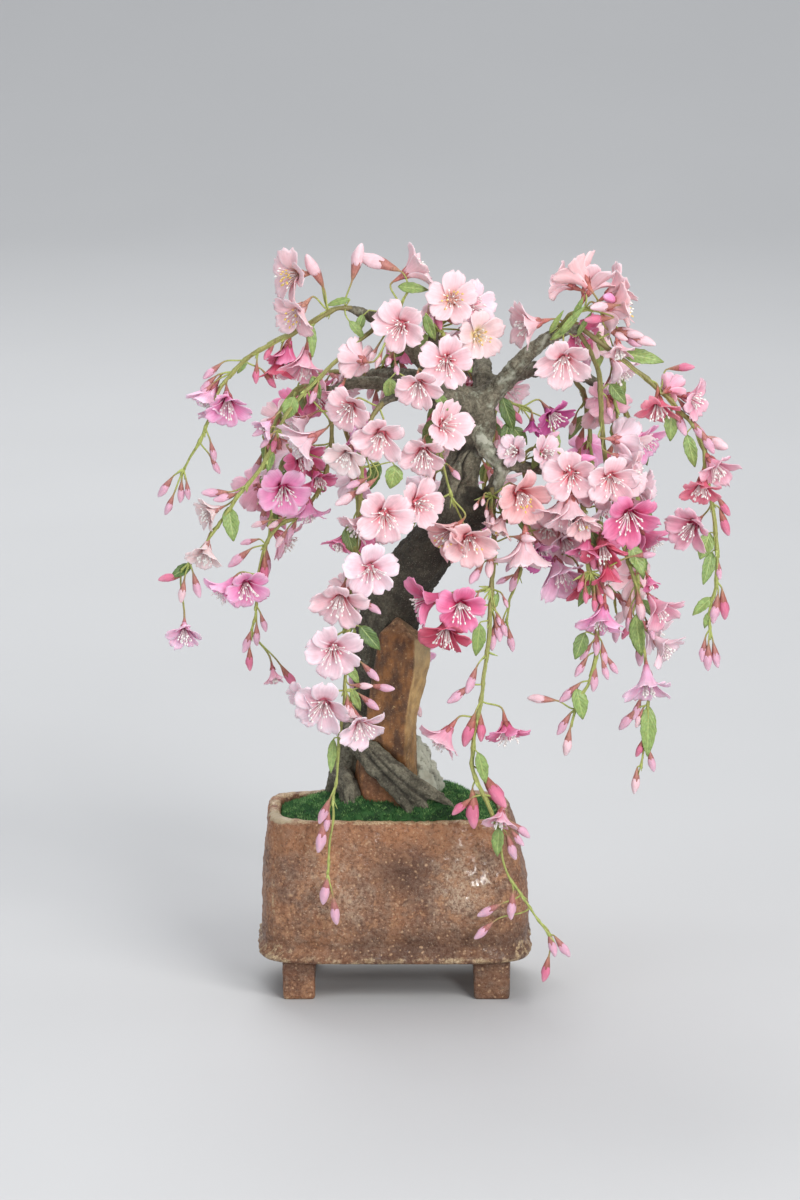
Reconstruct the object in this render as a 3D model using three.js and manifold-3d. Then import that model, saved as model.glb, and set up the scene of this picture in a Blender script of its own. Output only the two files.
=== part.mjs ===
// Weeping cherry bonsai in flower: a leaning old trunk behind an upright stone, moss over soil,
// a slab-built pot on four feet, and this year's flowering shoots hanging from the branches.
// Millimetres, +Z up. Front is -Y, and the origin is under the middle of the whole model.
import {
  Box3, BufferAttribute, BufferGeometry, BoxGeometry, CatmullRomCurve3, Group, LatheGeometry,
  MathUtils, Mesh, MeshStandardMaterial, Vector2, Vector3,
} from 'three';
import { ConvexGeometry } from 'three/addons/geometries/ConvexGeometry.js';
import { mergeVertices } from 'three/addons/utils/BufferGeometryUtils.js';
import Module from 'manifold-3d';

const wasm = await Module();
wasm.setup();

// ---------------------------------------------------------------- driving dimensions, mm
const GAP = 0.3; // clearance left between pieces that touch
const SLIVER = 0.05; // faces thinner than this, left by joining, are dropped
const RIM_HEIGHT = 91;
const FOOT_HEIGHT = 20;
const FLOOR_TOP = 28; // inside floor of the pot
const WALL = 6.5; // thickness of the pot's wall
const SOIL_TOP = 80;
const MOSS_EDGE = 87; // where the moss meets the pot's wall
const MOSS_CROWN = 99; // where it is heaped round the stone
const FLOWER_DEPTH = 1.25; // length of a flower's funnel over the radius of its mouth
const STALK_RADIUS = 0.6;
const CALYX_RADIUS = 2;
const TWIG_RADIUS = 1.1;
const BUD_RADIUS = 2;
const BUD_LENGTH = 7;

// Places in the crown are written as an onlooker in front sees them: [across, up, back],
// across and up from the middle of the view, back from the plane of the pot's middle.
const EYE_DISTANCE = 3700;
const EYE_ABOVE = MathUtils.degToRad(12.5); // the onlooker looks down by this much
const EYE_HEIGHT = 197; // height of the point that the onlooker looks at

function at([across, up, back]) {
  const sin = Math.sin(EYE_ABOVE);
  const cos = Math.cos(EYE_ABOVE);
  const rise = (up * (EYE_DISTANCE + back * cos) - EYE_DISTANCE * back * sin)
    / (EYE_DISTANCE * cos + up * sin);
  const away = EYE_DISTANCE + back * cos - rise * sin;
  return new Vector3(across * away / EYE_DISTANCE, back, EYE_HEIGHT + rise);
}

// ---------------------------------------------------------------- solids
// A closed geometry as a solid that can be joined and cut.
function solid(geometry) {
  geometry.deleteAttribute('normal');
  geometry.deleteAttribute('uv');
  const merged = mergeVertices(geometry, 1e-4);
  const corners = merged.index.array;
  const faces = [];
  for (let i = 0; i < corners.length; i += 3) {
    const [a, b, c] = corners.slice(i, i + 3);
    if (a !== b && b !== c && c !== a) faces.push(a, b, c);
  }
  return new wasm.Manifold(new wasm.Mesh({
    numProp: 3,
    vertProperties: merged.attributes.position.array,
    triVerts: new Uint32Array(faces),
  }));
}

const joined = (parts) => parts.reduce((whole, part) => whole.add(part));
const largest = (body) => body.decompose().sort((a, b) => b.volume() - a.volume())[0];

// Moves every corner of a geometry to where the function puts it.
function reshape(geometry, place) {
  const position = geometry.attributes.position;
  for (let i = 0; i < position.count; i += 1) {
    const moved = place(new Vector3().fromBufferAttribute(position, i));
    position.setXYZ(i, moved.x, moved.y, moved.z);
  }
  return geometry;
}

// A value read off a list of values that stand at rising stations.
function read(stations, values, where) {
  const last = stations.length - 1;
  if (where <= stations[0]) return values[0];
  if (where >= stations[last]) return values[last];
  const next = stations.findIndex((station) => station > where);
  const share = (where - stations[next - 1]) / (stations[next] - stations[next - 1]);
  return MathUtils.lerp(values[next - 1], values[next], share);
}

// A round limb through the points, with a radius at each of them. grow makes it that much
// thicker and longer all over.
function limb(points, radii, sides, steps, grow = 0) {
  const curve = new CatmullRomCurve3(points);
  const frames = curve.computeFrenetFrames(steps);
  const marks = radii.map((_, i) => i / (radii.length - 1));
  const profile = [new Vector2(0, 0)];
  for (let i = 0; i <= steps; i += 1) profile.push(new Vector2(1, i));
  profile.push(new Vector2(0, steps));
  const tube = reshape(new LatheGeometry(profile, sides), (corner) => {
    const station = Math.round(corner.y);
    const reach = read(marks, radii, curve.getUtoTmapping(station / steps)) + grow;
    const overrun = grow * ((station === steps) - (station === 0));
    return curve.getPointAt(station / steps)
      .addScaledVector(frames.tangents[station], overrun)
      .addScaledVector(frames.normals[station], corner.x * reach)
      .addScaledVector(frames.binormals[station], -corner.z * reach);
  });
  return solid(tube);
}

// ---------------------------------------------------------------- pot, soil and moss
const LEVELS = [20, 24, 36, 52, 67, 80, 91]; // heights at which the pot is measured
const LEFT = [-67, -69, -69, -69, -68, -67, -66];
const RIGHT = [62, 63.5, 64, 64, 61, 58, 55.5];
const HALF_DEPTH = [40.5, 42, 42.5, 42, 39.5, 37, 34.5];
const SQUARENESS = 0.4; // power that turns a round outline into a rounded rectangle
const POT_SIDES = 32;
const FEET = [ // middle across, width
  [-49.5, 14.5], [46.5, 16.5],
];
const FOOT_DEPTH = 15;
const FOOT_SETBACK = 29; // from the pot's middle to a foot's middle, front and back

const squared = (turn) => Math.sign(turn) * Math.abs(turn) ** SQUARENESS;

// A body whose outline follows the pot's wall, inset from it. The profile lists
// [share of the way out, height] from the axis below to the axis above.
function slab(profile, inset) {
  const outline = profile.map(([share, height]) => new Vector2(share, height));
  return solid(reshape(new LatheGeometry(outline, POT_SIDES), ({ x, y: height, z }) => {
    const share = Math.hypot(x, z);
    if (share < 1e-6) return new Vector3((LEFT[0] + RIGHT[0]) / 2, 0, height);
    const left = read(LEVELS, LEFT, height) + inset;
    const right = read(LEVELS, RIGHT, height) - inset;
    const half = read(LEVELS, HALF_DEPTH, height) - inset;
    const middle = (left + right) / 2;
    return new Vector3(
      middle + squared(x / share) * share * (right - left) / 2,
      -squared(z / share) * share * half,
      height,
    );
  }));
}

function pot() {
  const wall = LEVELS.map((height) => [1, height]);
  const body = slab([[0, FOOT_HEIGHT], ...wall, [0, RIM_HEIGHT]], 0);
  const inside = LEVELS.filter((height) => height > FLOOR_TOP).map((height) => [1, height]);
  const cavity = slab(
    [[0, FLOOR_TOP], [0.94, FLOOR_TOP], ...inside, [1, RIM_HEIGHT + 1], [0, RIM_HEIGHT + 1]],
    WALL,
  );
  const overlap = 2; // a foot's top is sunk this far into the body
  const feet = FEET.flatMap(([across, width]) => [-1, 1].map((side) => solid(
    new BoxGeometry(width, FOOT_DEPTH, FOOT_HEIGHT + overlap)
      .translate(across, side * FOOT_SETBACK, (FOOT_HEIGHT + overlap) / 2),
  )));
  return joined([body.subtract(cavity), ...feet]);
}

function soil() {
  return slab(
    [[0, FLOOR_TOP + GAP], [0.93, FLOOR_TOP + GAP], [1, 36], [1, 52], [1, 67], [1, SOIL_TOP],
      [0, SOIL_TOP]],
    WALL + GAP,
  );
}

function moss(holes) {
  const low = SOIL_TOP + GAP;
  const heap = MOSS_CROWN - MOSS_EDGE;
  const dome = [0.85, 0.6, 0.3].map((share) => [share, MOSS_EDGE + heap * (1 - share ** 2)]);
  const carpet = slab([[0, low], [1, low], [1, MOSS_EDGE], ...dome, [0, MOSS_CROWN]], WALL + GAP);
  return largest(holes.reduce((rest, hole) => rest.subtract(hole), carpet));
}

// ---------------------------------------------------------------- stone
const STONE_TOP = [
  [-2, -8, -9], [-1, -8, -2], [-10, -16, -12], [-9, -17, 2], [7, -20, -17], [15, -20, -9],
  [15, -21, 0], [15, -32, -7], [14, -34, 0], [7, -36, -19], [-11, -26, -15], [-13, -38, -14],
  [-13, -38, 1], [9, -56, -9], [8, -58, 1], [3, -58, -19], [-17, -60, -14], [-17, -60, 1],
];
const STONE_FOOT = [
  [8, -56, -8], [8, -56, 1], [3, -56, -19], [-17, -58, -14], [-17, -58, 1],
  [8, -120, -8], [9, -120, 2], [1, -120, -21], [-23, -120, -18], [-28, -120, 0],
];
const STONE_LOW = SOIL_TOP + GAP;

function stone(grow = 0) {
  const block = (places) => {
    const points = places.map(at).map((p) => new Vector3(p.x, p.y, Math.max(p.z, STONE_LOW)));
    const middle = points.reduce((sum, p) => sum.add(p), new Vector3()).divideScalar(points.length);
    const push = (p) => p.addScaledVector(p.clone().sub(middle).normalize(), grow * 2);
    return solid(new ConvexGeometry(points.map(push)));
  };
  return block(STONE_TOP).add(block(STONE_FOOT));
}

// ---------------------------------------------------------------- tree: trunk, roots, branches
// Each limb lists [across, up, back, radius] along its length.
const LIMBS = {
  trunk: [
    [-9, -114, 7, 18], [-9, -98, 9, 17], [-8, -60, 13, 16], [-5, -9, 12, 15.5],
    [4, 10, 10, 14], [12, 22, 8, 13.5], [23, 36, 6, 13], [33, 50, 4, 12.5], [38, 65, 2, 11],
    [39, 85, 1, 8.5], [41, 103, 0, 7],
  ],
  root_front: [
    [-26, -58, 8, 6], [-26, -66, -6, 6], [-15, -76, -17, 6], [0, -85, -22, 6],
    [13, -94, -22, 5], [25, -104, -20, 4.5],
  ],
  root_right: [[2, -62, 14, 10], [12, -78, 11, 9], [21, -90, 5, 8], [28, -104, 0, 6]],
  root_left: [[-14, -62, 13, 11], [-29, -80, 9, 10], [-37, -98, 4, 9], [-38, -112, 0, 7]],
  root_fold: [[-28, -78, 6, 7], [-27, -90, -10, 6], [-21, -104, -20, 5]],
  root_back: [[-8, -70, 16, 11], [4, -92, 17, 8], [16, -106, 18, 6]],
  right: [
    [40, 98, 0, 7], [50, 107, -2, 5], [65, 124, -6, 4.5], [80, 134, -8, 3.6], [92, 136, -9, 2.6],
  ],
  left: [
    [41, 98, 0, 7], [28, 104, -3, 5.5], [12, 118, -8, 4.5], [-2, 135, -12, 3.6],
    [-15, 142, -14, 3], [-26, 146, -15, 2.2],
  ],
  top: [[18, 112, -6, 4], [17, 132, -2, 3], [23, 146, 2, 2]],
  fork: [
    [38, 84, 0, 6], [42, 74, -8, 4.2], [49, 70, -11, 4.2], [50, 62, -12, 3.4], [46, 54, -13, 2.4],
  ],
  side: [[46, 71, -10, 4], [58, 67, -9, 3.4], [72, 65, -9, 3], [86, 62, -11, 2.2]],
  middle_left: [[38, 92, 2, 6], [12, 102, 6, 4.5], [-20, 109, 3, 3.5], [-36, 104, 0, 2.4]],
  front: [[39, 94, -2, 6], [22, 102, -20, 4.5], [4, 104, -36, 3.4], [-10, 98, -44, 2.4]],
  back_left: [[39, 96, 4, 6], [14, 110, 30, 4.6], [-16, 112, 54, 3.4], [-34, 104, 68, 2.4]],
  back_middle: [[41, 98, 4, 6], [41, 118, 34, 4.6], [36, 117, 66, 3.4], [29, 104, 86, 2.4]],
  back_right: [[41, 98, 3, 6], [60, 114, 28, 4.6], [86, 114, 50, 3.4], [108, 102, 64, 2.4]],
};
const THICK = 7; // a limb as thick as this is modelled with more sides

function tree(grow = 0) {
  const limbs = Object.values(LIMBS).map((stations) => {
    const radii = stations.map((station) => station[3]);
    const thick = Math.max(...radii) > THICK;
    const steps = thick ? 2 * (stations.length - 1) : stations.length;
    return limb(stations.map(at), radii, thick ? 9 : 6, steps, grow);
  });
  const slice = new BoxGeometry(400, 400, 400).translate(0, 0, STONE_LOW - 200 - grow);
  return largest(joined(limbs).subtract(solid(slice)));
}

// ---------------------------------------------------------------- flowering shoots
// twig: [across, up, back] from its branch to its tip. blooms: the middle of each flower's
// mouth, then its turn (0 faces front, positive faces the onlooker's right), its tilt (negative
// faces down) and its mouth's radius. buds: the tip of each bud that hangs clear.
const SHOOTS = {
  left_crest: {
    twig: [
      [-24, 146, -15], [-33, 145, -16], [-50, 135, -18], [-69, 126, -20], [-84, 114, -21],
      [-91, 103, -22], [-97, 87, -22], [-102, 77, -21], [-109, 63, -20],
    ],
    blooms: [
      [-55, 162, -22, -70, 5, 11], [-51, 142, -26, -55, -35, 10], [-49, 111, -16, -20, -60, 10],
      [-83, 94, -28, 10, -40, 11], [-98, 98, -20, -75, -15, 9], [-94, 88, -16, -40, -60, 8],
    ],
    buds: [[-116, 46, -20], [-91, 64, -21], [-40, 166, -17]],
  },
  left_front: {
    twig: [
      [-10, 138, -14], [-22, 128, -24], [-37, 114, -32], [-52, 99, -39], [-61, 85, -42],
      [-69, 67, -44], [-80, 54, -46], [-89, 40, -46], [-100, 25, -46], [-109, 15, -45],
    ],
    blooms: [
      [-48, 77, -46, -60, -40, 12], [-99, 43, -48, -55, -35, 9], [-98, 22, -52, -30, -60, 8],
      [-107, -18, -45, -20, -65, 9.5],
    ],
    buds: [[-117, 8, -45], [-72, 82, -46], [-92, 54, -48]],
  },
  left_inner: {
    twig: [
      [-32, 106, 0], [-34, 96, -3], [-36, 66, -8], [-50, 42, -12], [-60, 38, -13],
      [-67, 27, -14], [-70, 16, -14], [-72, -6, -14], [-74, -15, -14],
    ],
    blooms: [
      [-58, 53, -22, -5, -30, 13], [-47, 66, -14, -40, -30, 11], [-45, 40, -20, 20, -40, 10],
      [-89, 2, -16, -70, -35, 10], [-75, 4, -22, 15, -40, 11.5],
    ],
    buds: [[-75, -34, -14], [-63, -41, -14], [-55, -38, -15], [-78, -24, -14]],
  },
  front_cascade: {
    twig: [
      [-8, 99, -43], [-14, 92, -48], [-19, 65, -54], [-22, 30, -57], [-25, 0, -58],
      [-28, -50, -58], [-33, -100, -57], [-36, -137, -56],
    ],
    blooms: [
      [-26, 94, -56, -15, -20, 11], [-28, 70, -62, -20, -35, 10.5], [-9, 79, -64, -5, -25, 13],
      [-7, 41, -70, 5, -10, 14], [-14, 14, -71, 5, -5, 13.5], [-32, -3, -68, -10, -35, 13],
      [-32, -25, -71, 0, -10, 14], [-40, -55, -71, -10, -15, 14], [-50, -52, -64, -60, -20, 11],
      [-18, -64, -68, 30, -40, 11.5], [-26, 36, -62, -60, -40, 9], [-33, 24, -56, -50, -50, 8],
    ],
    buds: [[-39, -148, -56], [-32, -160, -56], [-41, -110, -57], [-4, -41, -57], [-11, -34, -58]],
  },
  crown_left: {
    twig: [[-2, 136, -12], [0, 146, -13], [4, 155, -12]],
    blooms: [
      [12, 167, -8, 60, 30, 11], [0, 136, -34, -5, -5, 14], [-29, 121, -24, -150, 0, 9],
    ],
    buds: [[-21, 172, -10], [-10, 163, -14]],
  },
  crown_right: {
    twig: [[18, 135, -2], [20, 137, -14], [22, 132, -20]],
    blooms: [
      [22, 150, -22, 20, 40, 13], [39, 132, -16, 45, 10, 12], [23, 118, -38, 0, -5, 13.5],
    ],
    buds: [[34, 149, -10]],
  },
  crown_low: {
    twig: [[22, 102, -20], [22, 94, -28], [20, 74, -33], [26, 52, -35]],
    blooms: [
      [9, 104, -52, -5, 20, 12], [26, 88, -42, 40, 20, 12], [10, 71, -54, 0, -30, 11.5],
      [10, 49, -50, 40, 25, 11], [21, 37, -44, 60, -40, 11], [35, 27, -47, 10, -20, 12],
    ],
    buds: [[30, 60, -40]],
  },
  centre_trail: {
    twig: [
      [46, 56, -13], [47, 30, -24], [46, 9, -34], [45, -8, -42], [43, -29, -48], [39, -57, -55],
      [36, -75, -58], [37, -88, -60], [45, -105, -61], [50, -120, -61], [52, -133, -61],
      [65, -154, -60], [75, -168, -60],
    ],
    blooms: [
      [62, 47, -36, -25, -30, 12.5], [60, 26, -36, 30, -70, 11], [10, -2, -46, -75, -15, 11.5],
      [31, -4, -56, 10, -20, 12.5], [22, -19, -52, 10, -60, 11], [20, -69, -62, -50, -60, 11],
      [55, -68, -60, 20, -70, 11], [49, -110, -68, 30, -60, 9],
    ],
    buds: [
      [38, -165, -60], [54, -155, -62], [71, -186, -60], [83, -175, -60], [24, -48, -54],
      [28, -105, -60], [61, -118, -60], [41, -158, -60],
    ],
  },
  right_centre: {
    twig: [
      [82, 62, -11], [90, 52, -18], [92, 35, -24], [95, 15, -28], [98, 0, -30], [99, -20, -31],
      [95, -40, -31], [89, -50, -30], [84, -68, -30],
    ],
    blooms: [
      [84, 61, -38, -10, -5, 13.5], [106, 56, -38, 15, -20, 12], [115, 36, -38, 10, -35, 13],
      [103, 21, -32, 10, -65, 10], [82, 38, -34, -10, -65, 12], [80, 12, -24, 40, -55, 11],
      [101, -18, -38, 0, -60, 11],
    ],
    buds: [[66, -50, -30], [84, -80, -30], [72, -66, -30], [109, -24, -31], [94, -26, -38]],
  },
  right_spur: {
    twig: [[60, 67, -9], [64, 74, -10], [72, 78, -10]],
    blooms: [[57, 76, -18, -30, 20, 8], [74, 74, -18, 30, 20, 9]],
    buds: [[80, 84, -8]],
  },
  right_inner: {
    twig: [
      [88, 136, -8], [98, 118, -4], [102, 75, -2], [107, 50, -6], [111, 30, -10], [117, 10, -13],
      [120, -10, -15], [122, -25, -16], [124, -60, -16], [120, -84, -16],
    ],
    blooms: [
      [112, 80, -18, 30, 20, 11], [121, 57, -16, 80, 0, 10], [131, -8, -22, 50, -50, 10.5],
      [137, -28, -12, 60, -20, 8], [125, -41, -26, 10, -65, 11.5],
    ],
    buds: [[117, -94, -16], [128, -82, -16], [113, -62, -16]],
  },
  right_crest: {
    twig: [[78, 134, -8], [86, 143, -10], [98, 148, -9]],
    blooms: [
      [85, 157, -16, -20, 50, 11], [100, 162, -6, 40, 50, 11], [115, 147, -8, 70, 20, 11],
      [82, 118, -34, 0, -25, 14], [62, 138, -20, -60, 5, 11],
    ],
    buds: [[104, 140, -20], [121, 130, -14]],
  },
  right_outer: {
    twig: [
      [89, 137, -9], [104, 126, -13], [122, 112, -16], [130, 105, -18], [140, 95, -20],
      [150, 82, -22], [154, 60, -23], [158, 31, -24], [159, 20, -24], [158, 7, -24],
      [155, -8, -24], [155, -20, -24],
    ],
    blooms: [
      [129, 93, -26, 0, -65, 11], [148, 100, -22, 60, -30, 10], [163, 62, -26, 70, -20, 9],
      [149, 53, -30, -20, -65, 10], [145, 32, -26, -60, -10, 10],
    ],
    buds: [[164, 72, -24], [165, 44, -24], [158, -10, -24], [152, -32, -24], [160, -30, -24]],
  },
  right_behind: {
    twig: [[46, 102, 2], [54, 99, 8], [60, 97, 10]],
    blooms: [[75, 89, 12, 50, -40, 11]],
    buds: [[64, 84, 8]],
  },
  centre_behind: {
    twig: [[62, 66, -9], [63, 50, -4], [62, 30, 0], [60, 14, 2], [55, 0, 3], [53, -10, 3]],
    blooms: [[70, 20, -4, 40, -60, 8]],
    buds: [[50, -20, 3], [56, -22, 2], [48, 6, 3]],
  },
};

// The back of the crown: shoots whose flowers stand in turn along the twig, facing out and down.
const BACK_SHOOTS = {
  back_left_far: {
    twig: [[-31, 105, 66], [-28, 90, 84], [-22, 60, 92], [-20, 30, 94], [-22, 0, 92], [-24, -30, 90]],
    count: 5,
  },
  back_left_high: {
    twig: [[-14, 112, 52], [-38, 113, 58], [-55, 99, 66], [-62, 76, 70], [-64, 50, 71], [-66, 28, 70]],
    count: 5,
  },
  back_left_side: {
    twig: [[-32, 105, 0], [-48, 107, 14], [-60, 94, 26], [-67, 72, 32], [-69, 50, 32]],
    count: 4,
  },
  back_middle_far: {
    twig: [
      [30, 105, 84], [22, 92, 97], [14, 62, 101], [8, 30, 99], [4, 0, 95], [2, -30, 92],
      [2, -60, 90],
    ],
    count: 6,
  },
  back_middle_right: {
    twig: [[36, 117, 64], [48, 108, 82], [46, 82, 92], [42, 56, 92], [39, 34, 90]],
    count: 4,
  },
  back_middle_near: {
    twig: [[40, 118, 32], [28, 112, 48], [20, 93, 56], [21, 70, 58], [26, 54, 58]],
    count: 3,
  },
  back_right_high: {
    twig: [[84, 114, 48], [92, 102, 64], [95, 80, 76], [98, 50, 80], [104, 22, 78], [108, -6, 76]],
    count: 5,
  },
  back_right_far: {
    twig: [[104, 104, 61], [114, 92, 60], [119, 66, 56], [119, 40, 52], [119, 12, 50], [120, -18, 48]],
    count: 5,
  },
  back_top: {
    twig: [[20, 131, 0], [19, 134, 20], [8, 134, 38], [-5, 125, 48], [-12, 108, 52]],
    count: 3,
  },
  back_top_right: {
    twig: [[74, 130, -7], [84, 138, 12], [98, 134, 28], [106, 120, 38], [108, 96, 42], [110, 74, 42]],
    count: 5,
  },
};
const GOLDEN_ANGLE = 137.5;
const BACK_REACH = 12; // from a back shoot's twig to the middle of a flower's mouth
const BACK_RADII = [11.5, 10.5, 12, 11];
const DOWN = new Vector3(0, 0, -1);

function facing(turn, tilt) {
  const [sideways, upwards] = [turn, tilt].map(MathUtils.degToRad);
  return new Vector3(
    Math.sin(sideways) * Math.cos(upwards),
    -Math.cos(sideways) * Math.cos(upwards),
    Math.sin(upwards),
  );
}

// The spot on a twig that a stalk leaves for a flower's base: near it, rather above it, and
// taken by no other stalk.
function takeSpot(spots, base) {
  const cost = (spot) => spot.distanceTo(base) + 0.6 * Math.max(0, base.z + 5 - spot.z);
  const best = spots.reduce((found, spot) => (cost(spot) < cost(found) ? spot : found));
  return spots.splice(spots.indexOf(best), 1)[0];
}

// A flower with its stalk is one five-sided trumpet, and a bud with its stalk one thin club.
function flower(start, base, way, radius) {
  const mouth = base.clone().addScaledVector(way, radius * FLOWER_DEPTH);
  const throat = base.clone().addScaledVector(way, 0.2 * radius * FLOWER_DEPTH);
  return limb([start, throat, mouth], [STALK_RADIUS, CALYX_RADIUS, radius], 5, 2);
}

function bud(start, neck, tip) {
  return limb([start, neck, tip], [STALK_RADIUS, BUD_RADIUS, STALK_RADIUS], 4, 2);
}

// Flowers of a back shoot: spread along the twig and turned round it by the golden angle.
function backBlooms(curve, count) {
  return Array.from({ length: count }, (_, i) => {
    const spot = curve.getPointAt((i + 1) / (count + 0.3));
    const turn = 180 + (((i * GOLDEN_ANGLE) % 260) - 130);
    const way = facing(turn, -25 - 12 * (i % 3));
    return { mouth: spot.addScaledVector(way, BACK_REACH), way, radius: BACK_RADII[i % 4] };
  });
}

function frontBlooms(blooms) {
  return blooms.map(([across, up, back, turn, tilt, radius]) => (
    { mouth: at([across, up, back]), way: facing(turn, tilt), radius }
  ));
}

const SPOTS = 90; // places along a twig that a stalk may leave it from
const SHRINKS = [1, 0.85, 0.7, 0.55, 0.42];

// Grows all shoots: first every twig, then flower by flower, each as large as it can be
// without touching a neighbouring shoot.
function shoots(branches, others) {
  const grown = Object.entries({ ...SHOOTS, ...BACK_SHOOTS }).map(([name, shoot]) => {
    const points = shoot.twig.map(at);
    const curve = new CatmullRomCurve3(points);
    const radii = [1.3 * TWIG_RADIUS, TWIG_RADIUS, 0.7 * TWIG_RADIUS];
    const twig = limb(points, radii, 4, points.length);
    return { name, shoot, curve, body: largest(twig.subtract(branches)) };
  });
  const bodies = () => [...others, ...grown.map((each) => each.body)];
  for (const each of grown) {
    const { shoot, curve } = each;
    const spots = curve.getSpacedPoints(SPOTS).slice(2);
    const rivals = (body) => bodies().filter((other) => other !== body);
    const add = (part) => {
      if (rivals(each.body).some((other) => part.minGap(other, GAP) < GAP * 0.99)) return false;
      each.body = each.body.add(part);
      return true;
    };
    const blooms = shoot.count ? backBlooms(curve, shoot.count) : frontBlooms(shoot.blooms);
    for (const { mouth, way, radius } of blooms) {
      const base = mouth.clone().addScaledVector(way, -radius * FLOWER_DEPTH);
      const start = takeSpot(spots, base);
      SHRINKS.some((shrink) => add(flower(start, base, way, radius * shrink)));
    }
    const tips = shoot.count ? [curve.getPointAt(1).addScaledVector(DOWN, 12)] : shoot.buds.map(at);
    for (const tip of tips) {
      const neck = tip.clone().addScaledVector(DOWN, -BUD_LENGTH);
      add(bud(takeSpot(spots, neck), neck, tip));
    }
  }
  return grown.map(({ name, body }) => [`shoot_${name}`, largest(body)]);
}

// ---------------------------------------------------------------- the whole model
const finish = (color, roughness) => new MeshStandardMaterial({ color, roughness });
const TERRACOTTA = finish(0xa8694a, 0.6);
const SOIL = finish(0x3b2c20, 1);
const MOSS = finish(0x24401c, 1);
const STONE = finish(0x96683c, 0.85);
const BARK = finish(0x6b6455, 0.9);
const BLOSSOM = finish(0xf0b3b8, 0.55);

function piece(name, body, material) {
  const { vertProperties, triVerts } = body.asOriginal().simplify(SLIVER).getMesh();
  const geometry = new BufferGeometry();
  geometry.setAttribute('position', new BufferAttribute(vertProperties, 3));
  geometry.setIndex(new BufferAttribute(triVerts, 1));
  const mesh = new Mesh(geometry, material);
  mesh.name = name;
  return mesh;
}

function bonsai() {
  const wood = tree();
  const woodClear = tree(GAP);
  const rock = largest(stone().subtract(woodClear));
  const shell = pot();
  const ground = soil();
  const carpet = moss([woodClear, stone(GAP)]);
  const model = new Group();
  model.add(
    piece('pot', shell, TERRACOTTA),
    piece('soil', ground, SOIL),
    piece('moss', carpet, MOSS),
    piece('stone', rock, STONE),
    piece('tree', wood, BARK),
    ...shoots(woodClear, [shell, carpet, rock, wood])
      .map(([name, body]) => piece(name, body, BLOSSOM)),
  );
  const middle = new Box3().setFromObject(model).getCenter(new Vector3());
  model.position.set(-Math.round(middle.x), -Math.round(middle.y), 0);
  return model;
}

export default bonsai();
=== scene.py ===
"""A weeping cherry bonsai in flower, in Blender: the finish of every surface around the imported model.

Lengths in the tables are millimetres. Places in the crown are [across, up, back] as an onlooker in
front sees them, the same numbers as the model's own source: across and up from the middle of the
view, back from the plane of the pot's middle.
"""

import math
from types import SimpleNamespace

import bpy
import numpy as np
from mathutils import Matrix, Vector


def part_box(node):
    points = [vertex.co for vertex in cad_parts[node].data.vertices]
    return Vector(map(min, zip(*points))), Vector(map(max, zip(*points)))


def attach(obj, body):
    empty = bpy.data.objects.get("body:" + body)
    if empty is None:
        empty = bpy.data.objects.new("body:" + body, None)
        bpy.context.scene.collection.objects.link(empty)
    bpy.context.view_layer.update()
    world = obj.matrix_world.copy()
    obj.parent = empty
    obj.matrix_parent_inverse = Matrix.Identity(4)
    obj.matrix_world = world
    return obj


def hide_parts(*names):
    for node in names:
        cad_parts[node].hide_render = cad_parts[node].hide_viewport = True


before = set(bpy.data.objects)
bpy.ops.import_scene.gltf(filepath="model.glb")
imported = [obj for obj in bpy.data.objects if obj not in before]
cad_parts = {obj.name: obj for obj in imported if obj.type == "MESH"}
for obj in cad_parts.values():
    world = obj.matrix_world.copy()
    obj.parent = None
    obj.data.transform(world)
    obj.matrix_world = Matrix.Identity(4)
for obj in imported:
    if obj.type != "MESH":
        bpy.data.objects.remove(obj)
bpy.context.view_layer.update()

# ------------------------------------------------------------------ frame and camera
MM = 0.001
EYE_DISTANCE = 3700
EYE_ABOVE = math.radians(12.5)  # the onlooker looks down by this much
EYE_HEIGHT = 197  # height of the point that the onlooker looks at
VIEW_HEIGHT = 600  # height of the picture at that point
SENSOR = 36
FAR = 100  # metres that the camera sees

POT_LEFT = -69
POT_FRONT = -42.5
pot_low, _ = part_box("pot")
SHIFT = np.array([pot_low.x / MM - POT_LEFT, pot_low.y / MM - POT_FRONT, 0])


def at(places):
    """Millimetres in the model's own frame for one place or a list of places in the crown."""
    across, up, back = np.moveaxis(np.asarray(places, float), -1, 0)
    sin, cos = math.sin(EYE_ABOVE), math.cos(EYE_ABOVE)
    rise = up * (EYE_DISTANCE + back * cos) - EYE_DISTANCE * back * sin
    rise = rise / (EYE_DISTANCE * cos + up * sin)
    away = EYE_DISTANCE + back * cos - rise * sin
    return np.stack([across * away / EYE_DISTANCE, back, EYE_HEIGHT + rise], -1)


def shown(name, data):
    """A new object in the scene."""
    made = bpy.data.objects.new(name, data)
    bpy.context.scene.collection.objects.link(made)
    return made


def camera():
    data = bpy.data.cameras.new("camera")
    data.sensor_width = SENSOR
    data.lens = SENSOR * EYE_DISTANCE / VIEW_HEIGHT
    data.clip_end = FAR
    eye = shown("camera", data)
    target = Vector((SHIFT + [0, 0, EYE_HEIGHT]) * MM)
    back = Vector((0, -math.cos(EYE_ABOVE), math.sin(EYE_ABOVE)))
    eye.location = target + back * EYE_DISTANCE * MM
    eye.rotation_euler = (-back).to_track_quat("-Z", "Y").to_euler()
    bpy.context.scene.camera = eye


# ------------------------------------------------------------------ numbers
def unit(vectors):
    return vectors / np.maximum(np.linalg.norm(vectors, axis=-1, keepdims=True), 1e-9)


def smooth_step(low, high, value):
    share = np.clip((value - low) / (high - low), 0, 1)
    return share * share * (3 - 2 * share)


def hump(value, width):
    """1 where the value is 0, and falling away within a few widths of it."""
    return np.exp(-((value / width) ** 2))


def turns(sides):
    """Angles evenly round a circle."""
    return 2 * np.pi * np.arange(sides) / sides


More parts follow.
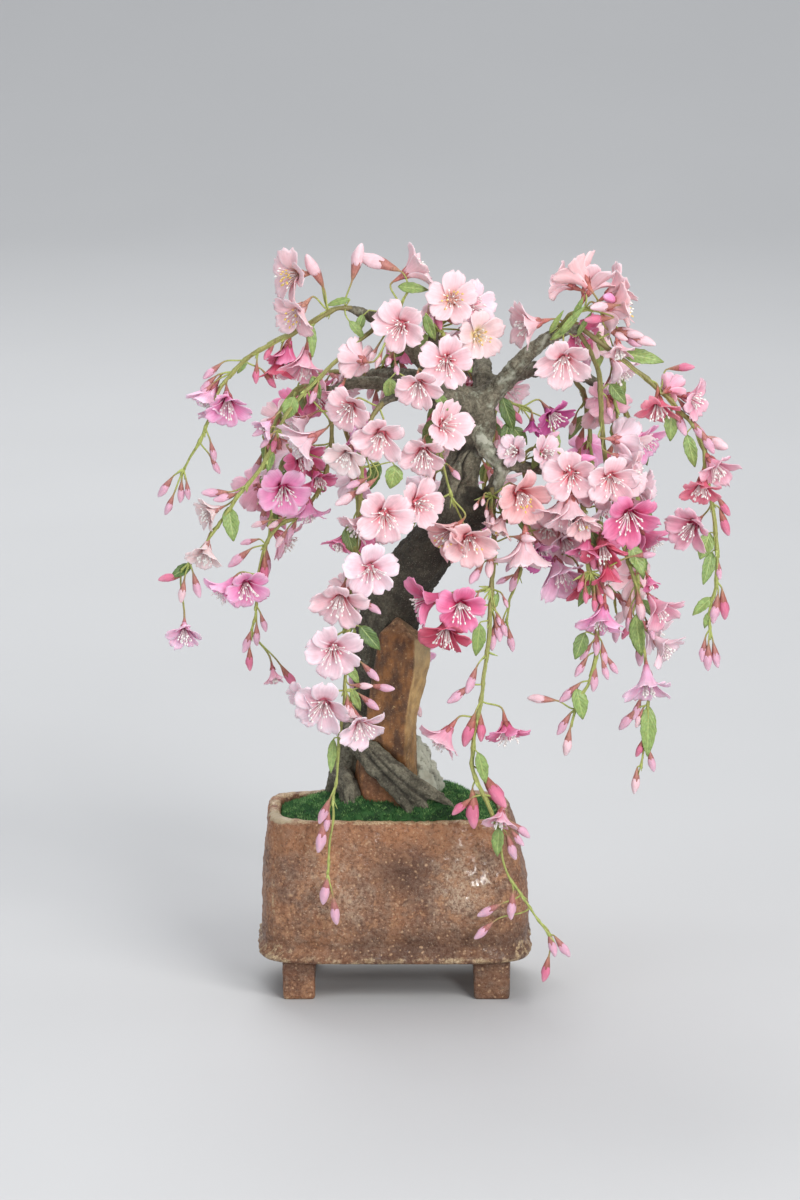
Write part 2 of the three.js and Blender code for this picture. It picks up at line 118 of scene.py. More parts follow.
def square_round(turn, power):
    """Places at angles round a unit circle that a power below 1 makes squarer."""
    cos, sin = np.cos(turn), np.sin(turn)
    return np.sign(cos) * np.abs(cos) ** power, np.sign(sin) * np.abs(sin) ** power


HASH = np.random.default_rng(7).permutation(256)
SLOPES = unit(np.random.default_rng(8).normal(size=(256, 3)))


def noise(points):
    """Smooth gradient noise, about -1 to 1, at each point; one swing is about one unit long."""
    cell = np.floor(points).astype(int)
    inside = points - cell
    ease = inside**3 * (inside * (inside * 6 - 15) + 10)
    total = np.zeros(len(points))
    for corner in np.ndindex(2, 2, 2):
        a, b, c = ((cell + corner) % 256).T
        slope = SLOPES[HASH[(HASH[(HASH[a] + b) % 256] + c) % 256]]
        weight = np.where(corner, ease, 1 - ease).prod(1)
        total += weight * ((inside - corner) * slope).sum(1)
    return 1.6 * total


def layered(points, layers=3):
    """Noise with finer, weaker noise laid over it."""
    return sum(noise(points * 2**i + 17.3 * i) / 2**i for i in range(layers))


ROUTE_STEPS = 24  # from each point of a route to the next


def route(points, spacing=None, count=None):
    """Places evenly along a smooth curve through the points, and each one's share of the list."""
    points = np.asarray(points, float)
    before, after = 2 * points[0] - points[1], 2 * points[-1] - points[-2]
    p = np.vstack([before, points, after])
    gaps = np.sqrt(np.linalg.norm(np.diff(p, axis=0), axis=1))
    k = np.concatenate([[0], np.cumsum(gaps)])
    spans = [np.linspace(k[i], k[i + 1], ROUTE_STEPS, False) for i in range(1, len(p) - 2)]
    t = np.concatenate(spans)
    t = np.append(t, k[-2])
    i = np.clip(np.searchsorted(k, t, side="right") - 1, 1, len(p) - 3)

    def mix(a, b, low, high):
        share = ((t - k[low]) / (k[high] - k[low]))[:, None]
        return a * (1 - share) + b * share

    a1, a2, a3 = (mix(p[i + j], p[i + j + 1], i + j, i + j + 1) for j in (-1, 0, 1))
    b1, b2 = mix(a1, a2, i - 1, i + 1), mix(a2, a3, i, i + 2)
    line = mix(b1, b2, i, i + 1)
    share = (i - 1 + (t - k[i]) / (k[i + 1] - k[i])) / (len(points) - 1)
    length = np.concatenate([[0], np.cumsum(np.linalg.norm(np.diff(line, axis=0), axis=1))])
    count = count or max(3, int(round(length[-1] / spacing)) + 1)
    even = np.linspace(0, length[-1], count)
    places = np.stack([np.interp(even, length, line[:, j]) for j in range(3)], 1)
    return places, np.interp(even, length, share)


def along(line):
    """Unit directions along a line of points."""
    return unit(np.gradient(line, axis=0))


def sideways(line):
    """Two unit directions across a line at each of its points, which turn as little as they can."""
    ahead = along(line)
    first = np.cross(ahead[0], [0.3, 0.9, 0.2])
    sides = [unit(first)]
    for way in ahead[1:]:
        sides.append(unit(sides[-1] - way * (sides[-1] @ way)))
    sides = np.array(sides)
    return sides, np.cross(ahead, sides)


# ------------------------------------------------------------------ meshes
# A face is four corner numbers. A triangle has its last corner twice.
def skin(rings, start, end):
    """A closed skin over rings of points, drawn together to a point at each end."""
    count, sides = rings.shape[:2]
    points = np.vstack([rings.reshape(-1, 3), start, end])
    ring, side = np.meshgrid(np.arange(count - 1), np.arange(sides), indexing="ij")
    a = (ring * sides + side).ravel()
    b = (ring * sides + (side + 1) % sides).ravel()
    walls = np.stack([a, b, b + sides, a + sides], 1)
    side = np.arange(sides)
    after = (side + 1) % sides
    first, last = count * sides, count * sides + 1
    base = (count - 1) * sides
    low = np.stack([after, side, np.full(sides, first), np.full(sides, first)], 1)
    high = np.stack([base + side, base + after, np.full(sides, last), np.full(sides, last)], 1)
    return points, np.vstack([walls, low, high])


TUBE_CAP = 0.4  # how far a tube's ends stand out, over its radius


def tube(line, radii, sides):
    """A round tube along a line of points, with a radius at each of them."""
    right, up = sideways(line)
    turn = turns(sides)
    reach = np.asarray(radii, float)[:, None, None]
    rings = right[:, None] * np.cos(turn)[:, None] + up[:, None] * np.sin(turn)[:, None]
    ahead = along(line)
    start = line[0] - ahead[0] * radii[0] * TUBE_CAP
    end = line[-1] + ahead[-1] * radii[-1] * TUBE_CAP
    return skin(line[:, None] + rings * reach, start, end)


def per_ring(values, sides):
    """A value for each point of a skin, from a value for each of its rings."""
    values = np.asarray(values, float)
    return np.concatenate([np.repeat(values, sides), values[:1], values[-1:]])


def slab_of(grid, thickness):
    """A thin closed slab round a sheet of points, a grid of rows and columns."""
    rows, columns = grid.shape[:2]
    normal = unit(np.cross(np.gradient(grid, axis=0), np.gradient(grid, axis=1)))
    half = normal * (thickness / 2)[..., None]
    points = np.vstack([(grid + half).reshape(-1, 3), (grid - half).reshape(-1, 3)])
    row, column = np.meshgrid(np.arange(rows - 1), np.arange(columns - 1), indexing="ij")
    a = (row * columns + column).ravel()
    top = np.stack([a, a + columns, a + columns + 1, a + 1], 1)
    size = rows * columns
    bottom = top[:, ::-1] + size
    first = np.arange(columns)
    last = first + (rows - 1) * columns
    left = np.arange(rows) * columns
    right = left + columns - 1
    rim = np.concatenate([first, right[1:], last[::-1][1:], left[::-1][1:-1]])
    after = np.roll(rim, -1)
    edge = np.stack([rim, after, after + size, rim + size], 1)
    return points, np.vstack([top, bottom, edge])


class Heap:
    """Many small closed shapes gathered into one mesh, whose points all carry the same paints."""

    def __init__(self, *paints):
        self.points = []
        self.faces = []
        self.paints = {name: [] for name in paints}
        self.size = 0

    def add(self, shape, **paints):
        points, faces = shape
        self.points.append(points)
        self.faces.append(faces + self.size)
        self.size += len(points)
        for name, stored in self.paints.items():
            value = np.asarray(paints[name], float)
            stored.append(np.broadcast_to(value, (len(points), 3)))

    def mesh(self, name):
        paints = {paint: np.vstack(values) for paint, values in self.paints.items()}
        return mesh_of(name, np.vstack(self.points), np.vstack(self.faces), paints)


def mesh_of(name, points, faces, paints):
    """A smooth-shaded mesh in metres in the frame, from millimetres in the model's own frame."""
    mesh = bpy.data.meshes.new(name)
    triangle = faces[:, 2] == faces[:, 3]
    keep = np.ones(faces.shape, bool)
    keep[:, 3] = ~triangle
    corners = faces[keep]
    sizes = np.where(triangle, 3, 4)
    mesh.vertices.add(len(points))
    mesh.vertices.foreach_set("co", ((points + SHIFT) * MM).ravel())
    mesh.loops.add(len(corners))
    mesh.loops.foreach_set("vertex_index", corners.astype(np.int32))
    mesh.polygons.add(len(faces))
    mesh.polygons.foreach_set("loop_start", (np.cumsum(sizes) - sizes).astype(np.int32))
    mesh.update(calc_edges=True)
    paint_on(mesh, paints)
    mesh.shade_smooth()
    return mesh


def paint_on(mesh, paints):
    for name, values in paints.items():
        layer = mesh.attributes.new(name, "FLOAT_VECTOR", "POINT")
        layer.data.foreach_set("vector", np.asarray(values, np.float32).ravel())


def points_of(mesh):
    """A mesh's points in millimetres in the model's own frame."""
    found = np.empty(len(mesh.vertices) * 3)
    mesh.vertices.foreach_get("co", found)
    return found.reshape(-1, 3) / MM - SHIFT


def move_points(mesh, points):
    mesh.vertices.foreach_set("co", ((points + SHIFT) * MM).ravel())
    mesh.update()


def normals_of(mesh):
    found = np.empty(len(mesh.vertices) * 3, np.float32)
    mesh.vertices.foreach_get("normal", found)
    return found.reshape(-1, 3).astype(float)


def evened(mesh, values, rounds):
    """Values at a mesh's points, each drawn towards the mean of its neighbours."""
    ends = np.empty(len(mesh.edges) * 2, np.int32)
    mesh.edges.foreach_get("vertices", ends)
    a, b = ends.reshape(-1, 2).T
    count = len(mesh.vertices)
    near = np.maximum(np.bincount(a, minlength=count) + np.bincount(b, minlength=count), 1)
    for _ in range(rounds):
        sums = np.zeros_like(values)
        for axis in range(values.shape[1]):
            sums[:, axis] = np.bincount(a, values[b, axis], count)
            sums[:, axis] += np.bincount(b, values[a, axis], count)
        values = 0.5 * values + 0.5 * sums / near[:, None]
    return values


def changed(obj, modifier, **settings):
    """A new mesh: an object's own, with a modifier applied."""
    change = obj.modifiers.new(modifier, modifier)
    for key, value in settings.items():
        setattr(change, key, value)
    graph = bpy.context.evaluated_depsgraph_get()
    return bpy.data.meshes.new_from_object(obj.evaluated_get(graph))


def remeshed(mesh, voxel):
    """One closed mesh of small even faces round everything in a mesh."""
    rough = shown("rough", mesh)
    even = changed(rough, "REMESH", mode="VOXEL", voxel_size=voxel * MM)
    bpy.data.objects.remove(rough)
    return even


def piece(name, mesh, material, replaces=()):
    """Shows a mesh as a piece of the object, in place of CAD nodes."""
    made = shown(name, mesh)
    mesh.materials.clear()
    mesh.materials.append(material)
    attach(made, "root")
    for node in replaces:
        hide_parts(node)


# ------------------------------------------------------------------ materials
def linear(red, green, blue):
    """A colour given as 0 to 255 on screen, as the renderer's own numbers."""
    parts = (x / 255 for x in (red, green, blue))
    return tuple(x / 12.92 if x <= 0.04045 else ((x + 0.055) / 1.055) ** 2.4 for x in parts)


class Shader:
    """A node material under construction, with short names for the nodes used here."""

    def __init__(self, name, **settings):
        self.material = bpy.data.materials.new(name)
        self.material.use_nodes = True
        self.tree = self.material.node_tree
        self.surface = self.tree.nodes["Principled BSDF"]
        for socket, value in settings.items():
            self.surface.inputs[socket.replace("_", " ")].default_value = value

    def node(self, kind, inputs=(), **settings):
        made = self.tree.nodes.new(kind)
        for key, value in settings.items():
            setattr(made, key, value)
        for key, value in dict(inputs).items():
            self.put(made.inputs[key], value)
        return made

    def put(self, socket, value):
        if isinstance(value, bpy.types.NodeSocket):
            self.tree.links.new(value, socket)
        elif hasattr(value, "__len__") and len(value) == 3 and socket.type == "RGBA":
            socket.default_value = (*value, 1)
        else:
            socket.default_value = value

    def places(self, stretch=(1, 1, 1)):
        """Places on the object in millimetres, stretched."""
        coordinates = self.node("ShaderNodeTexCoord").outputs["Object"]
        scale = tuple(x / MM for x in stretch)
        return self.vector("MULTIPLY", coordinates, scale)

    def paint(self, name):
        return self.node("ShaderNodeAttribute", attribute_name=name).outputs["Vector"]

    def parts(self, vector):
        return self.node("ShaderNodeSeparateXYZ", {0: vector}).outputs

    def joined(self, x, y, z):
        return self.node("ShaderNodeCombineXYZ", {0: x, 1: y, 2: z}).outputs[0]

    def vector(self, operation, a, b):
        return self.node("ShaderNodeVectorMath", {0: a, 1: b}, operation=operation).outputs[0]

    def math(self, operation, a, b=0.0, c=0.0):
        return self.node("ShaderNodeMath", {0: a, 1: b, 2: c}, operation=operation).outputs[0]

    def noise(self, places, size, detail=3.0, roughness=0.55):
        """Noise from 0 to 1 with blotches about so many units across."""
        inputs = {"Vector": places, "Scale": 1 / size, "Detail": detail, "Roughness": roughness}
        return self.node("ShaderNodeTexNoise", inputs).outputs["Fac"]

    def cells(self, places, size, feature="F1"):
        inputs = {"Vector": places, "Scale": 1 / size}
        return self.node("ShaderNodeTexVoronoi", inputs, feature=feature).outputs["Distance"]

    def step(self, value, low, high, start=0.0, end=1.0):
        """A soft step from start to end as the value goes from low to high."""
        inputs = {"Value": value, "From Min": low, "From Max": high, "To Min": start, "To Max": end}
        made = self.node("ShaderNodeMapRange", inputs, interpolation_type="SMOOTHSTEP")
        return made.outputs["Result"]

    def mix(self, share, a, b, blend="MIX"):
        made = self.node("ShaderNodeMix", data_type="RGBA", blend_type=blend)
        for key, value in (("Factor", share), ("A", a), ("B", b)):
            kind = "VALUE" if key == "Factor" else "RGBA"
            socket = next(s for s in made.inputs if s.name == key and s.type == kind)
            self.put(socket, value)
        return next(s for s in made.outputs if s.type == "RGBA")

    def between(self, value, low, high, start, end):
        """From one colour to another, each 0 to 255 on screen, as the value goes from low to high."""
        return self.mix(self.step(value, low, high), linear(*start), linear(*end))

    def overlaid(self, colour, *layers):
        """A colour under tints, each of which comes in as its value goes from low to high, at most
        so strongly: (value, low, high, strongest, tint)."""
        for value, low, high, most, tint in layers:
            colour = self.mix(self.step(value, low, high, 0.0, most), colour, linear(*tint))
        return colour

    def washed(self, colour, *washes):
        """A colour under even washes of a tint: (share, strongest, tint)."""
        for share, most, tint in washes:
            colour = self.mix(self.math("MULTIPLY", share, most), colour, linear(*tint))
        return colour

    def shaded(self, colour, shade):
        """A colour made darker or lighter by a number."""
        return self.mix(1.0, colour, self.joined(shade, shade, shade), "MULTIPLY")

    def bump(self, height, depth, strength=1.0):
        """Raises the surface by height, whose 1 stands for so many millimetres."""
        inputs = {"Height": height, "Distance": depth * MM, "Strength": strength}
        made = self.node("ShaderNodeBump", inputs)
        last = self.surface.inputs["Normal"]
        if last.is_linked:
            self.tree.links.new(last.links[0].from_socket, made.inputs["Normal"])
        self.tree.links.new(made.outputs[0], last)

    def finish(self, colour, roughness=None):
        self.put(self.surface.inputs["Base Color"], colour)
        if roughness is not None:
            self.put(self.surface.inputs["Roughness"], roughness)
        return self.material


def petal_finish():
    """Paints: place is (across -1 to 1, along 0 to 1, seed), and three colours from throat to rim."""
    s = Shader("petal", Roughness=0.6, Subsurface_Weight=0.2, Subsurface_Scale=0.0012)
    s.surface.inputs["Subsurface Radius"].default_value = (1, 0.5, 0.45)
    s.surface.inputs["Specular IOR Level"].default_value = 0.3
    across, lengthways, seed = s.parts(s.paint("place"))
    wide = s.math("MULTIPLY", across, 7.0)
    long = s.math("MULTIPLY", lengthways, 1.6)
    veins = s.noise(s.joined(wide, long, s.math("MULTIPLY", seed, 31.0)), 1.0, 4.0, 0.6)
    patches = s.noise(s.places(), 4.0, 2.0)
    depth = s.math("ADD", lengthways, s.math("MULTIPLY_ADD", veins, 0.2, -0.1))
    throat = s.step(depth, 0.12, 0.5, 1.0, 0.0)
    rim = s.step(s.math("MAXIMUM", s.math("ABSOLUTE", across), depth), 0.55, 1.0)
    colour = s.mix(throat, s.paint("body"), s.paint("heart"))
    colour = s.mix(s.math("MULTIPLY", rim, 0.7), colour, s.paint("edge"))
    colour = s.shaded(colour, s.step(veins, 0.35, 0.65, 0.95, 1.03))
    colour = s.shaded(colour, s.step(patches, 0.35, 0.65, 0.93, 1.03))
    s.bump(veins, 0.07, 0.6)
    return s.finish(colour, s.step(patches, 0.3, 0.7, 0.55, 0.68))


def stamen_finish():
    """Paint: tint is the colour."""
    s = Shader("stamen", Roughness=0.5)
    grain = s.noise(s.places(), 0.35, 2.0)
    s.bump(grain, 0.05, 0.5)
    return s.finish(s.shaded(s.paint("tint"), s.step(grain, 0.3, 0.7, 0.88, 1.0)))


def twig_finish():
    """Paint: tint is the colour."""
    s = Shader("twig", Roughness=0.55)
    streaks = s.noise(s.places((1, 1, 0.3)), 0.6, 4.0, 0.6)
    blotches = s.noise(s.places(), 3.0, 2.0)
    colour = s.shaded(s.paint("tint"), s.step(streaks, 0.32, 0.68, 0.78, 1.15))
    colour = s.overlaid(colour, (blotches, 0.58, 0.72, 0.45, (120, 92, 60)))
    s.bump(streaks, 0.12, 0.7)
    return s.finish(colour)


def leaf_finish():
    """Paints: place is (across -1 to 1, along 0 to 1, unused), and tint is the colour."""
    s = Shader("leaf", Roughness=0.42, Subsurface_Weight=0.1, Subsurface_Scale=0.001)
    across, lengthways, _ = s.parts(s.paint("place"))
    side = s.math("ABSOLUTE", across)
    slant = s.math("MULTIPLY_ADD", side, -0.35, lengthways)
    ribs = s.math("SINE", s.math("MULTIPLY", slant, 46.0))
    midrib = s.step(side, 0.03, 0.12, 1.0, 0.0)
    blotches = s.noise(s.places(), 1.6, 3.0)
    colour = s.shaded(s.paint("tint"), s.step(blotches, 0.3, 0.7, 0.8, 1.18))
    colour = s.washed(colour, (midrib, 0.5, (186, 205, 130)))
    colour = s.overlaid(colour, (ribs, 0.5, 1.0, 0.12, (190, 210, 140)))
    s.bump(s.math("ADD", ribs, midrib), 0.08, 0.6)
    return s.finish(colour)


def bark_finish():
    """Paint: wear_and_painted_light is (painted shade in grooves, cracks, creases and hollows 0 to 1,
    lichen 0 to 1, pale 0 to 1, which higher up is in part painted light).
    """
    s = Shader("bark", Roughness=0.9)
    dark, lichen, pale = s.parts(s.paint("wear_and_painted_light"))
    places = s.places()
    grain = s.noise(places, 1.3, 5.0, 0.65)
    broad = s.noise(places, 7.0, 4.0)
    flecks = s.noise(places, 0.6, 3.0, 0.7)
    deep = s.between(broad, 0.36, 0.64, (44, 41, 34), (68, 64, 53))
    light = s.between(broad, 0.36, 0.64, (108, 103, 86), (150, 145, 124))
    colour = s.mix(pale, deep, light)
    colour = s.mix(s.step(grain, 0.36, 0.64, 0.55, 0.0), colour, linear(44, 39, 32))
    spots = s.step(s.math("MULTIPLY_ADD", grain, 0.8, lichen), 0.75, 1.15)
    crust = s.between(lichen, 0.6, 0.9, (148, 152, 134), (186, 188, 172))
    colour = s.mix(s.math("MULTIPLY", spots, 0.85), colour, crust)
    # the darkest tint is painted shade in the grooves, the crack, the hollow, the creases and the recess
    # round the flap
    colour = s.overlaid(
        colour, (flecks, 0.6, 0.7, 0.6, (166, 165, 146)), (dark, 0.2, 1.0, 0.9, (32, 28, 23)),
    )
    s.bump(grain, 0.5, 0.9)
    s.bump(flecks, 0.2, 0.8)
    return s.finish(colour, s.step(grain, 0.3, 0.7, 0.95, 0.8))


def stone_finish():
    """Paint: face is (top 0 to 1, right side 0 to 1, height 0 to 1)."""
    s = Shader("stone", Roughness=0.75)
    top, right, height = s.parts(s.paint("face"))
    places = s.places()
    clouds = s.noise(s.places((1, 1, 0.6)), 6.0, 5.0, 0.6)
    bands = s.noise(s.places((1, 1, 0.2)), 5.0, 2.0)
    grit = s.noise(places, 0.6, 3.0, 0.7)
    crust = s.noise(places, 2.2, 4.0, 0.7)
    colour = s.between(clouds, 0.36, 0.62, (76, 48, 28), (132, 88, 48))
    colour = s.overlaid(colour, (bands, 0.54, 0.66, 0.6, (74, 50, 35)))
    foot = s.between(crust, 0.4, 0.6, (98, 62, 37), (136, 84, 48))
    colour = s.mix(s.step(height, 0.34, 0.12, 0.0, 0.85), colour, foot)
    # tan on the faces that look right: partly the split face's own colour, partly painted light on the
    # side the key lamp lights
    tan = s.between(clouds, 0.35, 0.65, (156, 124, 80), (194, 162, 108))
    tan = s.overlaid(tan, (height, 0.7, 0.9, 0.5, (160, 158, 128)))
    facet = s.math("MULTIPLY", right, s.step(height, 0.38, 0.62, 0.3, 0.85))
    colour = s.mix(facet, colour, tan)
    cap = s.between(crust, 0.4, 0.6, (84, 62, 44), (128, 98, 70))
    colour = s.mix(s.math("MULTIPLY", top, 0.85), colour, cap)
    colour = s.overlaid(
        colour, (crust, 0.6, 0.7, 0.5, (206, 172, 118)), (grit, 0.62, 0.72, 0.5, (214, 190, 146)),
        (grit, 0.36, 0.28, 0.45, (74, 52, 36)),
    )
    s.bump(crust, 0.45, 0.8)
    s.bump(grit, 0.18, 0.8)
    return s.finish(colour, s.step(crust, 0.35, 0.65, 0.8, 0.5))


def moss_finish():
    """Paint: tuft is (tip 0 to 1, brightness 0 to 1, unused)."""
    s = Shader("moss", Roughness=0.85)
    tip, bright, _ = s.parts(s.paint("tuft"))
    grain = s.noise(s.places(), 0.7, 3.0, 0.7)
    patches = s.noise(s.places(), 8.0, 3.0)
    low = s.between(patches, 0.35, 0.65, (24, 56, 24), (46, 90, 40))
    high = s.between(bright, 0.0, 0.7, (48, 106, 54), (104, 158, 82))
    high = s.overlaid(high, (bright, 0.55, 0.95, 1.0, (156, 206, 124)))
    colour = s.mix(s.step(s.math("MULTIPLY_ADD", grain, 0.3, tip), 0.3, 1.1), low, high)
    s.bump(grain, 0.4, 0.8)
    return s.finish(colour)


def soil_finish():
    s = Shader("soil", Roughness=0.95)
    grains = s.cells(s.places(), 1.8)
    clods = s.noise(s.places(), 4.0, 4.0)
    colour = s.between(clods, 0.35, 0.65, (34, 24, 17), (76, 56, 40))
    colour = s.mix(s.step(grains, 0.1, 0.5, 0.5, 0.0), colour, linear(110, 84, 60))
    s.bump(grains, 0.8)
    return s.finish(colour)


GLAZE_RIPPLE = 0.1  # depth of the ripples that the glaze keeps of the clay under it


def pot_finish():
    """Paints: wear_and_painted_light is (worn pale edge, partly a painted highlight on the flange's top;
    glaze_and_sheen, which also drives a painted sheen and glints; inside) and band is (darker low on
    the wall, with a painted shadow over the flange; cream lip; orange), all 0 to 1."""
    s = Shader("terracotta", Roughness=0.5, Coat_Roughness=0.1)
    edge, glaze_and_sheen, inside = s.parts(s.paint("wear_and_painted_light"))
    low, cream, orange = s.parts(s.paint("band"))
    places = s.places()
    clouds = s.noise(places, 22.0, 3.0, 0.55)
    blotches = s.noise(places, 5.5, 4.0, 0.62)
    grain = s.noise(places, 1.7, 4.0, 0.65)
    grit = s.noise(places, 0.6, 3.0, 0.7)
    pits = s.cells(places, 2.6, "SMOOTH_F1")
    colour = s.between(clouds, 0.38, 0.62, (112, 67, 42), (150, 97, 61))
    colour = s.overlaid(
        colour, (blotches, 0.5, 0.64, 0.55, (88, 54, 37)), (blotches, 0.47, 0.35, 0.65, (186, 138, 100)),
    )
    colour = s.washed(colour, (orange, 0.7, (162, 106, 66)))
    colour = s.overlaid(
        colour, (grain, 0.47, 0.36, 0.5, (66, 39, 25)), (grain, 0.54, 0.7, 0.35, (180, 130, 90)),
    )
    # darker low on the wall, in the dark patch and in the painted shadow over the flange
    colour = s.washed(colour, (low, 0.85, (74, 44, 29)))
    # pale dots at the middles of the small domes: painted glints on them
    colour = s.overlaid(colour, (pits, 0.26, 0.06, 0.6, (206, 168, 130)))
    film = s.math("MULTIPLY", glaze_and_sheen, s.step(blotches, 0.34, 0.6, 0.25, 1.0))
    # painted sheen: a pale veil over the glossy places, standing in for their reflections
    painted_sheen = s.math("MULTIPLY", film, s.step(grain, 0.38, 0.6, 0.15, 0.75))
    colour = s.mix(painted_sheen, colour, linear(206, 184, 156))
    # white specks: painted glints, stronger where the pot is glossy
    painted_glints = s.step(grit, 0.6, 0.68, 0.0, s.math("MULTIPLY_ADD", glaze_and_sheen, 0.7, 0.2))
    colour = s.mix(painted_glints, colour, linear(238, 222, 200))
    worn = s.math("MULTIPLY_ADD", grain, 0.7, s.math("MULTIPLY_ADD", edge, 0.9, -0.35))
    chalk = s.between(grit, 0.4, 0.6, (158, 126, 90), (216, 194, 156))
    colour = s.mix(s.step(worn, 0.35, 0.8, 0.0, 0.8), colour, chalk)
    lip = s.math("MULTIPLY_ADD", grain, 0.5, s.math("ADD", cream, -0.3))
    colour = s.overlaid(colour, (lip, 0.3, 0.8, 0.8, (178, 164, 134)))
    colour = s.washed(colour, (inside, 0.35, (120, 84, 58)))
    s.bump(grain, 0.9, 1.0)
    s.bump(blotches, 1.6, 0.8)
    s.bump(s.step(pits, 0.0, 0.6), 0.4, 0.8)
    s.bump(grit, 0.38, 0.9)
    ripple = s.node("ShaderNodeBump", {"Height": grain, "Distance": GLAZE_RIPPLE * MM, "Strength": 1.0})
    s.put(s.surface.inputs["Coat Normal"], ripple.outputs[0])
    s.put(s.surface.inputs["Coat Weight"], film)
    matt = s.step(grain, 0.35, 0.65, 0.68, 0.5)
    return s.finish(colour, s.math("MULTIPLY_ADD", film, -0.2, matt))


def floor_finish():
    s = Shader("floor", Roughness=0.7)
    clouds = s.noise(s.places(), 300.0, 2.0)
    return s.finish(s.mix(clouds, linear(188, 189, 190), linear(194, 195, 196)))


# ------------------------------------------------------------------ pot and moss
LEVELS = [20, 24, 36, 52, 67, 80, 91]  # heights at which the pot is measured
LEFT = [-67, -69, -69, -69, -68, -67, -66]
RIGHT = [62, 63.5, 64, 64, 61, 58, 54.5]
HALF_DEPTH = [40.5, 42, 42.5, 42, 39.5, 37, 34.5]
SQUARENESS = 0.4  # power that turns a round outline into a rounded rectangle
OUTLINE_STEPS = 200001
WALL = 6.5
FLOOR_TOP = 28
FOOT_HEIGHT = 20
POT_SIDES = 290
POT_MIDDLE = np.array([(LEFT[0] + RIGHT[0]) / 2, 0, 0])
FEET = [(-50.6, 16), (46, 18)]  # middle across, width
FOOT_DEPTH = 15
FOOT_SETBACK = 29
FOOT_SINK = 2  # how far a foot reaches into the body
FOOT_SQUARENESS = 0.22
FOOT_SIDES = 64
FOOT_TAPER = 0.03
SOIL_TOP = 80
MOSS_EDGE = 87
WORN_LINE = -63.2  # across: the pale worn line down the front left corner
SHINE = (32, 60, 18, 16)  # a glossy spot on the front, a thicker coat under painted sheen and glints: across, up, half its width and height
FAINT_SHINE = (-30, 58, 26, 18)
DARK_PATCH = (2, 65, 15, 14)
MOSS_CROWN = 99
GAP = 0.3


def outline(count):
    """Unit outline of the pot seen from above, as evenly spaced points."""
    x, y = square_round(np.linspace(0, 2 * np.pi, OUTLINE_STEPS), SQUARENESS)
    wide, deep = RIGHT[3] - LEFT[3], 2 * HALF_DEPTH[3]
    steps = np.hypot(np.diff(x) * wide, np.diff(y) * deep)
    length = np.concatenate([[0], np.cumsum(steps)])
    even = np.linspace(0, length[-1], count, endpoint=False)
    return np.stack([np.interp(even, length, x), np.interp(even, length, y)], 1)


def pot_rings(profile, count):
    """Rings of points that follow the pot's wall, from a list of (inset from it, height)."""
    shape = outline(count)
    rows = [np.stack([LEVELS, LEFT, RIGHT], 1), np.stack([LEVELS, HALF_DEPTH, HALF_DEPTH], 1)]
    sides, depths = (route(row, count=200)[0] for row in rows)
    rings = []
    for inset, height in profile:
        left = np.interp(height, sides[:, 0], sides[:, 1]) + inset
        right = np.interp(height, sides[:, 0], sides[:, 2]) - inset
        half = max(np.interp(height, depths[:, 0], depths[:, 1]) - inset, 0.5)
        across = (left + right) / 2 + shape[:, 0] * (right - left) / 2
        rings.append(np.stack([across, shape[:, 1] * half, np.full(count, height)], 1))
    return np.array(rings)


def pot_profile():
    """(inset, height) from under the pot, up the outside, over the lip and down inside."""
    under = [(inset, FOOT_HEIGHT) for inset in (39, 30, 20, 12, 6, 2.5, 0.6)]
    flange = [
        (-1.8, 20), (-2.9, 20.2), (-3.2, 21), (-3.1, 22), (-2.6, 23), (-1.7, 24), (-0.8, 25),
        (-0.1, 26), (0.3, 27), (0.5, 28), (0.5, 29), (0.4, 30), (0.3, 31), (0.1, 32),
    ]
    wall = [(0, height) for height in np.arange(33, 87.5, 1)]
    lip = [(0, 88.2), (0.1, 89.3), (0.7, 90.4), (1.7, 91), (2.8, 91.1), (4.2, 91), (5.4, 90.5)]
    inner = [(6.2, 89.6), (WALL, 88.4), (WALL, 87), (WALL, 85), (WALL, 82.5), (WALL, 80)]
    deep = [(WALL, height) for height in (72, 60, 48, 36, 31)]
    floor = [(8, FLOOR_TOP + 0.8), (11, FLOOR_TOP), (20, FLOOR_TOP), (30, FLOOR_TOP)]
    return under + flange + wall + lip + inner + deep + floor


def pot_shell():
    """The hand-built body of the pot, with dents and a pinched lip."""
    rings = pot_rings(pot_profile(), POT_SIDES)
    points, faces = skin(rings, POT_MIDDLE + [0, 0, FOOT_HEIGHT], POT_MIDDLE + [0, 0, FLOOR_TOP])
    mesh = mesh_of("pot", points, faces, {})
    normal = normals_of(mesh)
    height = points[:, 2]
    outer = smooth_step(20, 23, height)
    dents = 0.75 * noise(points / 24 + 3) + 0.4 * noise(points / 9 + 9)
    grain = 0.42 * layered(points / 3.8) + 0.16 * noise(points / 1.5)
    ragged = smooth_step(27, 22, height) * (0.8 * noise(points / 5.0) + 0.9 * noise(points / 1.9))
    push = outer * (dents + grain) + outer * ragged
    points = points + normal * push[:, None]
    points[:, 2] -= smooth_step(28, 21, height) * outer * 0.8 * np.abs(noise(points / 17 + 70))
    lip = smooth_step(78, 91, height)
    points[:, 2] += lip * (0.6 * noise(points / 19 + 40) + 0.25 * noise(points / 6))
    move_points(mesh, points)
    return mesh


